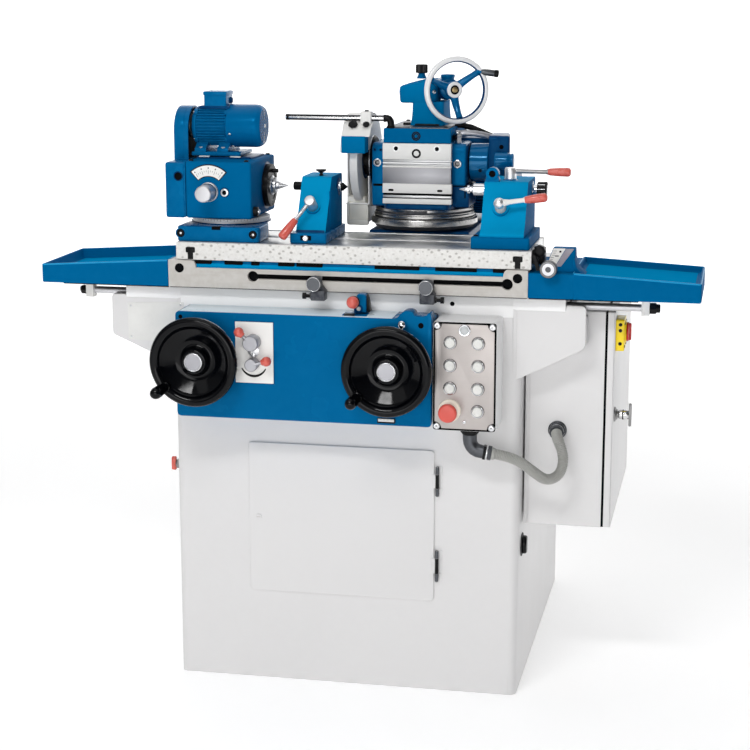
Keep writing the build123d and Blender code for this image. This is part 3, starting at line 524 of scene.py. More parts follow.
def scraped():
    """hand-scraped white strip: sparse small grey flecks in slanting rows"""
    m = Mat("scraped_strip")
    v = m.mapped((1.0, 1.0, 1.25), (0.0, 0.62, 0.0))
    d = m.voronoi(70.0, "F1", v, spread=0.35)
    k = m.math("ADD", d, m.math("MULTIPLY", m.noise(300.0, 2.0), 0.22))
    keep = m.rng(m.noise(60.0, 2.0), 0.5, 1.0, 0.34, 0.48)
    dot = m.math("MULTIPLY", m.rng(k, 1.0, 0.0, 0.26, 0.42), keep)
    base = m.ramp(m.noise(140.0, 3.0), [(0.3, lin(222, 220, 216)), (0.6, lin(234, 233, 230))])
    col = m.mix(m.math("MULTIPLY", dot, 0.75), base, lin(150, 146, 140))
    return m.set(col, m.rng(d, 0.35, 0.5), m.bump(dot, -0.2, 0.0003), 0.05, specular_ior_level=0.35)


SCRAPE = scraped()


def striped_pipe():
    """polished thin pipe with a painted reflection: bright along its middle, dark towards both edges, as a white studio
    would reflect in it
    """
    m = Mat("pipe_painted_reflection")
    sep = m.n.new("ShaderNodeSeparateXYZ")
    m.l.new(m.tc.outputs["Normal"], sep.inputs[0])
    # bands keyed to the up-down normal: painted reflection
    k = m.math("ADD", sep.outputs[2], m.math("MULTIPLY", m.noise(90.0, 2.0), 0.06))
    col = m.ramp(m.rng(k, 0.0, 1.0, -1.0, 1.0), [(0.05, lin(60, 60, 64)), (0.24, lin(30, 31, 34)), (0.30, lin(40, 41, 44)), (0.36, lin(250, 250, 250)), (0.62, lin(250, 250, 250)), (0.70, lin(42, 42, 46)), (0.85, lin(30, 31, 35)), (1.0, lin(90, 90, 95))])
    return m.set(col, m.rng(m.noise(60.0, 2.0), 0.16, 0.28), m.bump(m.noise(400.0, 2.0), 0.02, 0.0002), 0.75)


PIPE_REFLECTION = striped_pipe()


def graduated():
    """perforated fan grille: holes painted dark in blue sheet, as painted shade in place of openings"""
    m = Mat("fan_grille")
    v = m.mapped((170.0, 170.0, 170.0))
    f = m.n.new("ShaderNodeVectorMath"); f.operation = "FRACTION"
    m.l.new(v, f.inputs[0])
    s = m.n.new("ShaderNodeVectorMath"); s.operation = "SUBTRACT"
    s.inputs[1].default_value = (0.5, 0.5, 0.5)
    m.l.new(f.outputs[0], s.inputs[0])
    sep = m.n.new("ShaderNodeSeparateXYZ")
    m.l.new(s.outputs[0], sep.inputs[0])
    r2 = m.math("ADD", m.math("POWER", sep.outputs[1], 2.0), m.math("POWER", sep.outputs[2], 2.0))
    hole = m.math("LESS_THAN", r2, 0.085)
    col = m.mix(hole, lin(0, 84, 145), lin(8, 14, 22))
    return m.set(col, m.rng(m.noise(40.0), 0.3, 0.45), m.bump(hole, -0.4, 0.0008))


GRILLE = graduated()


# ---------------------------------------------------------------- more building helpers
def band(P, m, outer, inner, axis, a, b, mat=None):
    """a wall between two outlines with the same number of points, from a to b"""
    def at(p, h):
        return {"x": Vector((h, p[0], p[1])), "y": Vector((p[0], h, p[1])), "z": Vector((p[0], p[1], h))}[axis]
    t = bmesh.new()
    R = [[t.verts.new(at(p, h)) for p in o] for o, h in ((outer, a), (outer, b), (inner, b), (inner, a))]
    n = len(outer)
    for k in range(4):
        A, B = R[k], R[(k + 1) % 4]
        for i in range(n):
            j = (i + 1) % n
            t.faces.new((A[i], A[j], B[j], B[i]))
    bmesh.ops.recalc_face_normals(t, faces=t.faces[:])
    if mat:
        t.transform(mat)
    P.put(t, m)


def arc(cx, cz, r, a0, a1, n=24):
    return [(cx + r * cos(radians(a0 + (a1 - a0) * i / n)), cz + r * sin(radians(a0 + (a1 - a0) * i / n))) for i in range(n + 1)]


def inset(pts, d):
    """outline moved inwards by d (counter-clockwise outlines)"""
    out, n = [], len(pts)
    area = sum(pts[i][0] * pts[(i + 1) % n][1] - pts[(i + 1) % n][0] * pts[i][1] for i in range(n))
    s = 1 if area > 0 else -1
    for i in range(n):
        p0, p1, p2 = Vector(pts[i - 1]), Vector(pts[i]), Vector(pts[(i + 1) % n])
        a, b = (p1 - p0), (p2 - p1)
        a = a.normalized() if a.length > 1e-9 else b.normalized()
        b = b.normalized() if b.length > 1e-9 else a
        na, nb = Vector((-a.y, a.x)) * s, Vector((-b.y, b.x)) * s
        k = (na + nb)
        k = k / max(0.35, k.length_squared / 2)
        out.append(tuple(p1 + k * d))
    return out


def cap_screw(P, p, d, r=5.0, h=5.0, m=None, hole=None):
    """socket-head cap screw: chamfered head, hexagon socket"""
    m, hole = m or BLACKM, hole or GAP_SHADE
    P.lathe(m, p, d, [(r, -1.5), (r, h - 0.7), (r - 0.7, h), (r * 0.56, h), (r * 0.50, h - 0.5)], 24, cap=False)
    P.lathe(hole, p, d, [(r * 0.50, h - 0.5), (r * 0.48, h * 0.35), (0, h * 0.30)], 6, cap=False)


def pan_screw(P, p, d, r=4.0, h=2.2, m=None, a=0.4):
    """round-head screw with a slot"""
    m = m or SILVER
    P.lathe(m, p, d, [(r, -0.8), (r, 0.3), (r * 0.86, h * 0.72), (r * 0.5, h), (0, h)], 20, cap=False)
    x, y, z = basis(d)
    p = Vector(p)
    k = x * cos(a) + y * sin(a)
    w = z.cross(k)
    M = Matrix((k, w, z)).transposed().to_4x4()
    M.translation = p + z * (h - 0.25)
    P.box(GAP_SHADE, -r * 0.72, r * 0.72, -r * 0.12, r * 0.12, -0.5, 0.32, 0, 1, mat=M)


def hex_head(P, p, d, r=8.0, h=6.0, m=None, a0=0.0):
    m = m or BLACKM
    P.lathe(m, p, d, [(r, -1), (r, h * 0.82), (r * 0.86, h), (0, h)], 6, cap=False)


# ---------------------------------------------------------------- workhead
WPX, WPY = -288.0, 124.0
P = Piece("workhead_clamp_base", "swivel")
P.prism(BLUE, [(-378, -5), (-190, -5), (-190, 88), (-222, 140), (-222, 205), (-354, 205), (-354, 140), (-378, 88)], "z", 1009, 1042, [14, 14, 12, 12, 10, 10, 12, 12], 3.0, 3)
for x in (-368, -203):
    P.ring(BLUE, (x, -5.2, 1027), (0, -1, 0), [(11.5, -2), (11.5, 0.9), (10.0, 1.1), (9.2, 0.6), (9.2, -2)], 28)
    P.lathe(GAP_SHADE, (x, -5.0, 1027), (0, -1, 0), [(9.3, -1), (9.3, 0.35), (0, 0.4)], 28, cap=False)
    P.lathe(BLACKM, (x, -5.0, 1027), (0, -1, 0), [(7.2, -1), (7.2, 2.6, 0.5), (5.4, 3.2), (3.6, 3.2), (3.2, 1.4)], 24, cap=False)
    P.lathe(SILVER, (x, -5.0, 1027), (0, -1, 0), [(3.3, 0.4), (3.2, 1.6, 0.4), (0, 1.9)], 6, cap=False)
P.box(GAP_SHADE, -297, -277, -5.6, 6, 1035.5, 1042.4, 0.6)
P.lathe(BLUE_SHADED, (WPX, WPY, 1041.5), (0, 0, 1), [(90, 0), (90, 2.4, 0.8), (86, 2.6), (0, 2.6)], 96, cap=False)
P.lathe(WHITE2, (WPX, WPY, 1044), (0, 0, 1), [(87.4, 0), (87.4, 9.6, 0.6), (84, 10), (0, 10)], 96, cap=False)
for i in range(-12, 13):
    a = radians(-90 + i * 5.0)
    M = Matrix.Translation((WPX, WPY, 0)) @ Matrix.Rotation(a, 4, "Z")
    P.box(INK, 87.2, 87.75, -0.35, 0.35, 1050.2 if i % 2 else 1048.6, 1053.2, 0, 1, mat=M)
P.lathe(BLUE_SHADED, (WPX, WPY, 1053.6), (0, 0, 1), [(70, 0), (70, 3.0), (0, 3.0)], 64, cap=False)
P.done("workhead_base", slot="blue_paint")

P = Piece("workhead_housing", "workhead")
P.box(BLUEL, -363, -213, 20, 228, 1057, 1183, 5.5, 4)
P.box(BLUE, -410, -365, 20.5, 215, 1057, 1180, 5.5, 4)
# dark sheet in the joint between guard and body: painted shade
P.box(GAP_SHADE, -367, -361, 24, 211, 1060, 1177, 0)
# upper belt guard: a shell that is open on its motor side
og = [(95, 1172), (205, 1172)] + arc(150, 1242, 55, 0, 180, 32)
ig = inset(og, 4.5)
P.prism(BLUE, og, "x", -412, -386, 0, 4.0, 3)
band(P, BLUE, inset(og, 0.0), ig, "x", -388, -378)
# dark sheet inside the open shell: painted shade
P.prism(GAP_SHADE, inset(og, 4.0), "x", -387, -385.2, 0, 0)
P.lathe(STEELD, (-385.4, 150, 1253), (1, 0, 0), [(26, 0), (26, 4, 1), (14, 4.5), (14, 7), (0, 7)], 40, cap=False)
for y, z in ((108, 1196), (192, 1196), (112, 1262), (188, 1262)):
    pan_screw(P, (-385.2, y, z), (1, 0, 0), 4.0, 2.2)
# lip where the lower guard meets the body, and the finger recess drawn as a dark disc: painted shade
P.box(BLUE, -366.5, -363.2, 21, 214, 1059, 1181.5, 1.5)
P.lathe(BLUE_SHADED, (-379, 20.4, 1149.5), (0, -1, 0), [(11, -1), (11, 0.8, 0.5), (9, 1.0), (8.4, 0.2)], 28, cap=False)
P.lathe(GAP_SHADE, (-379, 20.4, 1149.5), (0, -1, 0), [(8.6, -1), (8.6, 0.4), (0, 0.5)], 28, cap=False)
# dial sector above the knob
KX, KZ = -309.0, 1116.0
def sector(r0, r1, a0, a1, n=24):
    return arc(KX, KZ, r1, a0, a1, n) + arc(KX, KZ, r0, a1, a0, n)
P.prism(BLACKM, sector(33.5, 61, 46, 134), "y", 19.0, 20.5, 0, 0)
P.prism(WHITE2, sector(35.5, 58.6, 48.5, 131.5), "y", 18.5, 20.5, 0, 0)
for i in range(13):
    a = 54 + i * 6
    M = Matrix.Translation((KX, 0, KZ)) @ Matrix.Rotation(radians(90 - a), 4, "Y")
    long = i % 3 == 0
    P.box(INK, -0.35, 0.35, 18.3, 18.8, 40 if long else 44, 48, 0, 1, mat=M)
    if long:
        P.box(INK, -1.3, 1.3, 18.3, 18.8, 51, 54.5, 0.3, 1, mat=M)
# plug to the right of the knob
P.lathe(BLUE_SHADED, (-273, 20.4, 1115.5), (0, -1, 0), [(11, -1), (11, 0.8), (9.6, 1.2)], 28, cap=False)
P.lathe(SILVER, (-273, 20.4, 1115.5), (0, -1, 0), [(9.0, -1), (9.0, 3.0, 0.8), (5.2, 3.4), (4.6, 1.2)], 28, cap=False)
P.lathe(GAP_SHADE, (-273, 20.4, 1115.5), (0, -1, 0), [(4.7, 0), (4.7, 1.2), (0, 1.3)], 6, cap=False)
# stop pin at the right foot, and the bearing cover behind the faceplate
P.lathe(BLACKM, (-213, 44, 1072), (1, 0, 0), [(11, -4), (11, 9, 1.5), (7, 10), (0, 10)], 28, cap=False)
P.lathe(SILVER, (-204, 44, 1072), (1, 0, 0), [(5, 0), (5, 4, 1), (0, 4.5)], 20, cap=False)
P.lathe(BLUE_SHADED, (-213.5, 160, 1119), (1, 0, 0), [(53, 0), (53, 0.7, 0.3), (20, 0.8), (20, 0.2)], 64, cap=False)
# adjusting plate with slots on top, below the motor foot
P.box(BLUE_SHADED, -358, -232, 92, 206, 1182, 1186.5, 1.0)
for x in (-340, -268):
    P.box(WHITE2, x - 12, x + 12, 90.5, 96, 1186, 1189, 1.0)
for x, y in ((-352, 32), (-226, 32), (-352, 216), (-226, 216)):
    cap_screw(P, (x, y, 1182.6), (0, 0, 1), 5.0, 3.5)
# back cover with its screws
P.box(BLUE_SHADED, -350, -226, 226.5, 230, 1070, 1170, 1.2)
for x in (-342, -234):
    for z in (1078, 1162):
        pan_screw(P, (x, 229.6, z), (0, 1, 0), 4.0, 2.0)
P.done("workhead_body", slot="blue_paint")

P = Piece("workhead_dial_knob", "workhead_knob")
P.lathe(SATIN, (KX, 20, KZ), (0, -1, 0), [(22, 0.3), (22, 4.5, 1.2), (19.5, 6), (19.5, 8)], 48, cap=False)
P.gear(SATIN, (KX, 13, KZ), (0, -1, 0), 18.5, 41, 56, 0.2, 2.0)
P.lathe(SATIN, (KX, -27.0, KZ), (0, -1, 0), [(16.5, -1), (16.5, 1.2, 0.8), (0, 1.6)], 40, cap=False)
P.box(INK, KX - 0.5, KX + 0.5, 14.5, 20, KZ + 17.6, KZ + 19.3, 0.2)
P.done("workhead_knob", slot="bright_chrome")

P = Piece("workhead_faceplate", "workhead_spindle")
P.lathe(BLACKM, (-212.6, 160, 1119), (1, 0, 0), [(48, 0.1), (48, 11.6, 1.2), (33, 12.2, 0.5), (32, 10.8, 0.4), (22, 10.8)], 72, cap=False)
P.lathe(SILVER, (-212.6, 160, 1119), (1, 0, 0), [(22.2, 8), (22.2, 13.4, 1.0), (19, 14.6, 1), (17.5, 16), (17.5, 22.5, 1), (9.2, 23.2), (9, 28, 0.8), (8, 28.8), (1.4, 48), (0, 48.6)], 48, cap=False)
for a in (30, 150, 270):
    P.lathe(GAP_SHADE, (-201.2, 160 + 40 * cos(radians(a)), 1119 + 40 * sin(radians(a))), (1, 0, 0), [(4.5, 0), (4.5, 0.7), (3.6, 0.8), (3.2, 0.2), (0, 0.2)], 20, cap=False)
# driver pin
P.lathe(BLACKM, (-201, 160, 1152), (1, 0, 0), [(4.5, 0), (4.5, 14, 1), (0, 14.6)], 20, cap=False)
P.done("workhead_spindle", slot="ground_steel")

P = Piece("workhead_electric_motor", "workhead")
MY, MZ = 150.0, 1253.0
AX = (1, 0, 0)
P.lathe(BLUE, (-376, MY, MZ), AX, [(0, 0.4), (9, 0.4), (9, 0), (30, 0), (39, 2, 2), (43, 8, 2), (43, 12), (40.5, 13), (40.5, 80), (44, 82), (44, 89)], 72, cap=False)
# cooling fins along the stator
for i in range(40):
    a = i * 9.0
    if 62 < a % 360 < 118:
        continue
    M = Matrix.Translation((0, MY, MZ)) @ Matrix.Rotation(radians(a), 4, "X")
    P.box(BLUE, -363, -297, 39.5, 45.4, -1.0, 1.0, 0.6, 1, mat=M)
# end shield ears and tie bolts
for a in (45, 135, 225, 315):
    M = Matrix.Translation((0, MY, MZ)) @ Matrix.Rotation(radians(a), 4, "X")
    P.box(BLUE, -369, -361, 38, 47, -6, 6, 1.5, 2, mat=M)
    P.box(BLUE, -299, -291, 38, 47, -6, 6, 1.5, 2, mat=M)
    q = M @ Vector((-369, 43.0, 0))
    hex_head(P, q, (-1, 0, 0), 3.4, 3, SILVER)
# fan cover: smooth drum, domed edge, perforated end
P.lathe(BLUE, (-294, MY, MZ), AX, [(45, 0), (47.6, 1.2, 1), (48, 4), (48, 62, 1), (46.6, 70, 3), (41.5, 77.5, 2), (39.0, 78.4)], 80, cap=False)
P.lathe(GRILLE, (-294, MY, MZ), AX, [(39.2, 78.2), (36, 78.9), (0, 79.2)], 72, cap=False)
for r in (12, 22, 32):
    P.torus(BLUE, (-215.2, MY, MZ), AX, r, 0.9, 56, 8)
for a in range(0, 180, 45):
    M = Matrix.Translation((0, MY, MZ)) @ Matrix.Rotation(radians(a + 20), 4, "X")
    P.box(BLUE, -215.9, -214.3, -39, 39, -0.8, 0.8, 0.3, 1, mat=M)
P.lathe(SILVER, (-215.0, MY, MZ), AX, [(4.5, 0), (4.5, 1.2, 0.5), (0, 1.5)], 20, cap=False)
for a in (200, 250, 310, 20, 70):
    M = Matrix.Translation((0, MY, MZ)) @ Matrix.Rotation(radians(a), 4, "X")
    q, d = M @ Vector((-284, 47.6, 0)), (M.to_3x3() @ Vector((0, 1, 0)))
    pan_screw(P, q, d, 3.4, 2.0, SILVER)
# terminal box with lid and cable glands
P.box(BLUE_SHADED, -358, -289, 121, 178, 1291, 1298, 1.2)
P.box(BLUE, -347.5, -296, 122, 176, 1295, 1324, 2.5, 3)
P.box(BLUE, -349, -294.5, 120.5, 177.5, 1321.5, 1330, 2.0, 3)
for x in (-343.5, -300):
    for y in (126.5, 171.5):
        pan_screw(P, (x, y, 1329.6), (0, 0, 1), 3.0, 1.0)
P.lathe(BLUE_SHADED, (-296, 160, 1309), AX, [(8, -1), (8, 3, 0.8), (6, 3.4), (6, 5, 1), (0, 5.4)], 6, cap=False)
# feet and mounting plate
for x in (-352, -300):
    P.prism(BLUE, [(MY - 48, 1196), (MY + 48, 1196), (MY + 48, 1204), (MY + 28, 1217), (MY - 28, 1217), (MY - 48, 1204)], "x", x - 13, x + 13, 1.0, 1.0)
    for y in (MY - 42, MY + 42):
        hex_head(P, (x, y, 1204), (0, 0, 1), 5, 4, SILVER)
P.prism(BLUE, [(-372, 98), (-258, 98), (-258, 202), (-372, 202)], "z", 1188.5, 1197, 6, 1.2)
for x in (-360, -270):
    P.lathe(BLACKM, (x, 104, 1186), (0, 0, 1), [(7, 0), (7, 3), (0, 3)], 24, cap=False)
P.done("workhead_motor", slot="blue_paint")


# ---------------------------------------------------------------- left footstock
FN, FT = Vector((0, -0.8693, 0.4943)), Vector((0, -0.4943, -0.8693))
FP = Vector((-83, 28 + 55 * 67 / 118, 1084))
P = Piece("footstock_housing", "swivel")
P.prism(BLUE, [(-124, 10), (-41, 10), (-41, 205), (-124, 205)], "z", 1009, 1031, 6, 2.5, 3)
# sloped housing whose upward faces are painted lighter: painted light
P.prism(BLUE_UPWARD_LIT, [(28, 1027), (200, 1027), (200, 1147), (95, 1147)], "x", -115, -48, [2, 2, 8, 7], 3.5, 3)
P.prism(BLUE_SHADED, [(22, 1026), (36, 1026), (43, 1042), (30, 1034)], "x", -113, -50, 0, 1.0)
P.box(BLUEL, -48.6, -45.5, 70, 190, 1040, 1118, 1.2)
# boss of the clamp lever
P.lathe(BLUE_UPWARD_LIT, FP, FN, [(17, -8), (17, 2.2, 0.8), (14, 3.0, 0.5), (12.6, 3.0)], 36, cap=False)
# foot slot with its nut
P.box(GAP_SHADE, -100, -75, 9.4, 16, 1015.5, 1026.5, 1.0)
P.lathe(SILVER, (-87.6, 8.8, 1021), (0, -1, 0), [(6.8, -1), (6.8, 3.4), (5.8, 4.2), (3.6, 4.2), (3.0, 3.0), (0, 3.0)], 6, cap=False)
# quill bore collars and the thumb screw that locks it
P.lathe(BLUE_SHADED, (-115, 160, 1119), (-1, 0, 0), [(19, -2), (19, 2.5, 0.8), (12.4, 2.6), (12.2, 0)], 40, cap=False)
P.lathe(BLUE_SHADED, (-48, 160, 1119), (1, 0, 0), [(20, -2), (20, 3.0, 0.8), (12.4, 3.2), (12.2, 0)], 40, cap=False)
P.lathe(BLACKM, (-78, 122, 1147), (0, 0, 1), [(5, -2), (5, 3, 0.6), (3.4, 3.4), (3.4, 7), (7, 8.5), (12, 11.5, 0.8), (12, 14, 0.8), (0, 14.5)], 24, cap=False)
P.done("footstock_body", slot="blue_paint")

P = Piece("footstock_sleeve", "footstock_quill")
P.lathe(BLACKM, (0, 160, 1119), (1, 0, 0), [(0, -150), (8.4, -150), (9.6, -148.6, 0.5), (9.6, -131)], 32, cap=False)
P.lathe(CHROME, (0, 160, 1119), (1, 0, 0), [(9.6, -131), (12, -129.5), (12, -40.5, 0.8), (9, -39.5)], 36, cap=False)
P.lathe(BLACKM, (0, 160, 1119), (1, 0, 0), [(9.2, -39.6), (9.2, -35.5, 0.6), (7.4, -34.4), (1.2, -26.4), (0, -26)], 32, cap=False)
P.done("footstock_quill", slot="ground_steel")


def grip_lever(name, body, node, p, n, d, hub_h, rod, grip, r0, r1, balltop=False):
    """clamp lever: round hub on n, bar along d, tapered grip"""
    P = Piece(name, body)
    n, d, p = Vector(n), Vector(d).normalized(), Vector(p)
    P.lathe(SATIN, p, n, [(7, -26), (7, 0.4), (11.6, 0.5), (12, 2, 0.6), (12, hub_h - 3), (10.8, hub_h - 0.8, 1.2), (0, hub_h)] if not balltop
            else [(7, -26), (7, 0.4), (11.4, 0.5), (11.6, 2, 0.6), (11.2, hub_h - 14), (9, hub_h - 12)], 40, cap=False)
    c = p + n * (hub_h - 8)
    if balltop:
        P.ball(SATIN, c, 12.4, 32)
    P.lathe(SATIN, c, d, [(4.6, 0), (4.2, rod - 4), (6.0, rod - 3, 0.6), (6.0, rod + 1)], 24, cap=False)
    L = grip
    P.lathe(RED, c + d * rod, d, [(0, 0), (6.6, 0, 1.0), (r0, 3), (0.5 * (r0 + r1) + 0.9, L * 0.5), (r1, L - 6), (r1 - 0.6, L - 2, 2.0), (r1 - 4, L, 1.5), (0, L + 0.3)], 32, cap=False)
    P.torus(RED, c + d * (rod + 3.0), d, r0 + 0.1, 0.5, 32, 8)
    return P.done(node, slot="red_grip")


fd = (FT * 0.85 + Vector((-0.53, 0, 0))).normalized()
grip_lever("footstock_clamp_handle", "footstock_lever", "footstock_lever", FP, FN, fd, 38, 52, 52, 7.6, 10.0)

# ---------------------------------------------------------------- cross slide with the wheelhead's swivel seat
WSX, WSY, WSZ, RY = 112.0, 350.0, 1163.0, 375.0
P = Piece("cross_slide_saddle", "cross_slide")
P.box(BLUE_SHADED, -6, 230, 300, 835, 905.2, 1005, 4.0, 3)
P.box(IRON, -6.4, 230.4, 304, 831, 905.0, 914, 1.0)
for y in (360, 480, 600, 720, 800):
    for x, d in ((-6, -1), (230, 1)):
        cap_screw(P, (x, y, 936), (d, 0, 0), 6, 4)
P.box(STEELD, 20, 204, 832, 836.5, 925, 990, 1.0)
for x in (32, 192):
    for z in (935, 980):
        cap_screw(P, (x, 836.2, z), (0, 1, 0), 5, 3)
# dark rings below the swivel seat: painted shade
P.lathe(SHADE, (WSX, RY, 1010.6), (0, 0, 1), [(70, 0), (115.6, 0.2, 0.4), (117, 3, 1), (117, 8.9, 1.0), (112, 9.9)], 128, cap=False)
P.lathe(SHADE, (WSX, RY, 1003), (0, 0, 1), [(74, 0), (74, 8.4)], 96, cap=False)
P.lathe(RINGGREY, (WSX, RY, 1018.5), (0, 0, 1), [(120, 0), (124.6, 0.6, 0.5), (124.6, 12.0, 0.8), (123.4, 13.6, 0.6), (122.6, 15.6, 0.6), (119, 16.4), (90, 16.4)], 160, cap=False)
for i in range(-16, 17):
    M = Matrix.Translation((WSX, RY, 0)) @ Matrix.Rotation(radians(-90 + i * 5.0), 4, "Z")
    P.box(INK, 124.3, 124.85, -0.35, 0.35, 1027.5 if i % 2 else 1025.2, 1030.2, 0, 1, mat=M)
# feed nut below the saddle
P.box(IRON, 95, 147, 560, 620, 735, 906, 2.0)
P.done("cross_slide", slot="bare_iron")

# ---------------------------------------------------------------- wheelhead
P = Piece("wheelhead_housing", "wheelhead")
P.lathe(RINGGREY, (WSX, RY, 1035.6), (0, 0, 1), [(90, 0), (117.6, 0.4, 0.6), (118.4, 2, 0.6), (118.4, 6.4, 0.8), (115.6, 8.0, 0.8), (115.6, 10.0, 0.4)], 160, cap=False)
P.lathe(SHADE, (WSX, RY, 1035.6), (0, 0, 1), [(115.6, 9.6), (113.4, 10.4), (113.4, 14.0), (115.0, 14.6)], 160, cap=False)
P.lathe(RINGGREY, (WSX, RY, 1035.6), (0, 0, 1), [(114.4, 14.4), (115.2, 15.0, 0.4), (115.2, 21.0, 1.0), (110, 24), (60, 24.4)], 160, cap=False)
P.box(SHADE, 86, 138, 258.6, 268, 1047.4, 1056, 1.6)
P.box(BLUE, 34, 190, 276, 520, 1060, 1232, 4.0, 3)
# lower band of the housing in the darker blue: painted shade
P.prism(BLUE_SHADED, [(40, 268), (184, 268), (196, 300), (196, 480), (28, 480), (28, 300)], "z", 1058, 1072, 8, 2.0)
# top cover and the ground seat of the column
P.box(BLUEL, 34, 190, 268, 500, 1210, 1243, 3.0, 3)
P.box(GLAND, 44, 184, 272, 492, 1242, 1245.6, 0.8)
for x in (52, 176):
    for y in (280, 484):
        cap_screw(P, (x, y, 1245.2), (0, 0, 1), 4.5, 3.0)
P.lathe(BLACKM, (110, 268.4, 1226), (0, -1, 0), [(10.5, -2), (10.5, 1.0, 0.5), (8.6, 1.4), (7.6, 0.4)], 32, cap=False)
P.lathe(BLACKM, (110, 268.4, 1226), (0, -1, 0), [(7.0, -2), (7.0, 1.2, 0.5), (4.2, 1.4), (3.8, 0.2)], 24, cap=False)
P.lathe(GAP_SHADE, (110, 268.4, 1226), (0, -1, 0), [(3.9, -0.5), (3.7, 0.2), (0, 0.2)], 6, cap=False)
# bearing bosses at both sides
P.prism(BLUE, [(288, 1064), (420, 1064), (420, 1208), (288, 1208)], "x", 3, 36, [6, 12, 22, 22], 4.0, 3)
P.prism(BLUE, [(288, 1112), (420, 1112), (420, 1208), (288, 1208)], "x", 188, 222, [6, 12, 22, 22], 4.0, 3)
P.box(GAP_SHADE, 6, 33, 287.4, 296, 1108.5, 1114, 0.8)
P.box(BLUE_SHADED, 4, 36, 290, 418, 1062, 1108, 3.0)
P.box(BLUE_SHADED, 188, 230, 292, 400, 1062, 1112, 4.0, 3)
P.box(GAP_SHADE, 190, 226, 290.8, 296, 1110.4, 1114.2, 0.6)
P.box(GAP_SHADE, 219, 222, 290.6, 300, 1084, 1104, 0.6)
for x in (15.9, 202.8):
    P.lathe(SILVER, (x, 288.4, 1162.5), (0, -1, 0), [(9.6, -2), (9.6, 1.8, 0.7), (6.6, 2.6, 0.5), (5.6, 1.2)], 36, cap=False)
    P.lathe(GLASS, (x, 288.4, 1162.5), (0, -1, 0), [(5.8, -1), (5.6, 1.0), (3, 1.4), (0, 1.5)], 28, cap=False)
for x in (10, 24):
    cap_screw(P, (x, 288.2, 1192), (0, -1, 0), 3.4, 2.0, BLUE_SHADED)
# spindle sleeve towards the belt
P.lathe(BLUE_SHADED, (221, WSY, WSZ), (1, 0, 0), [(44, 0), (44, 2.4, 0.6), (40.5, 2.8), (40.5, 5.4)], 72, cap=False)
P.lathe(GAP_SHADE, (224, WSY, WSZ), (1, 0, 0), [(40.6, 0), (40.6, 2.6)], 72, cap=False)
P.lathe(BLUEG, (226, WSY, WSZ), (1, 0, 0), [(40.4, 0), (42.6, 0.8, 0.8), (42.6, 42.8, 1.4), (38, 45.6), (18, 45.6)], 80, cap=False)
P.box(BLUE_SHADED, 60, 190, 517, 545, 1013, 1112, 3.0)
P.box(BLUE_SHADED, 180, 271, 398, 472, 1118, 1214, 5.0, 3)
cap_screw(P, (252, 311.6, 1147), (0, -0.92, -0.39), 4.0, 3.0, BLACKM)
# oil pipe from the sleeve's banjo to the guard, with a black strap over it
P.lathe(SILVER, (199, 318, 1224), (0, 0, 1), [(9, -18), (9, -2, 1), (10.5, -1), (10.5, 7, 1), (7, 8), (7, 12, 1.2), (0, 12.6)], 6, cap=False)
P.ball(SILVER, (199, 318, 1228), 9.2, 24)
P.tube(LEVGREY, [(199, 318, 1229), (214, 320, 1231), (236, 324, 1230), (258, 330, 1226), (279, 338, 1220)], 7.0, 16)
P.tube(BLACKM, [(184, 370, 1243), (200, 370, 1245), (222, 371, 1240), (250, 372, 1229), (284, 374, 1216)], [4, 6.5, 7, 6.5, 5], 12)
P.done("wheelhead_body", slot="blue_paint")

P = Piece("wheelhead_front_plate", "wheelhead")
P.box(WHITE2, 33.4, 192, 262, 276, 1173, 1209.4, 1.0)
P.box(BRUSH, 33.6, 191.8, 266.4, 276, 1157, 1174, 0.2)
P.prism(BRUSH, [(262.8, 1166.4), (266.8, 1168.2), (266.8, 1161.4), (262.8, 1163.2)], "x", 33.6, 191.8, 0, 0.3, 1)
P.box(WHITE2, 33.4, 192, 262.2, 276, 1154.6, 1158.4, 0.6)
P.box(MIDGREY, 33.4, 192, 263, 276, 1117.4, 1155.2, 0.4)
P.box(WHITE2, 33.4, 193.6, 262, 276, 1095.8, 1117.8, 1.0)
P.box(GAP_SHADE, 34.4, 192.6, 265.5, 276, 1083, 1097, 0.3)
P.box(BRUSH, 34.0, 193.0, 264.4, 275, 1085.4, 1090.8, 0.6)
P.box(WHITE2, 33.6, 193.6, 262, 276, 1071.4, 1083.4, 1.0)
for x in (64.5, 159.5):
    P.lathe(GAP_SHADE, (x, 262.0, 1198), (0, -1, 0), [(5.0, -6), (5.0, 0.12), (0, 0.14)], 28, cap=False)
    P.ring(SILVER, (x, 262.0, 1198), (0, -1, 0), [(5.9, -0.5), (5.9, 0.25), (5.0, 0.25), (5.0, -0.5)], 28)
P.lathe(BLACKM, (112, 262.0, 1187), (0, -1, 0), [(10.6, -2), (10.6, 1.0, 0.4), (6.6, 1.2), (6.2, 0.3)], 36, cap=False)
P.lathe(WHITE2, (112, 262.0, 1187), (0, -1, 0), [(6.4, -2), (6.2, 0.6, 0.4), (0, 0.9)], 32, cap=False)
for x in (53.2, 166.8):
    P.prism(GAP_SHADE, [(x - 6, 1100.2), (x + 6, 1100.2), (x + 6, 1105.2), (x - 6, 1105.2)], "y", 261.86, 264, 2.4, 0)
P.done("attachment_plate", slot="white_paint")

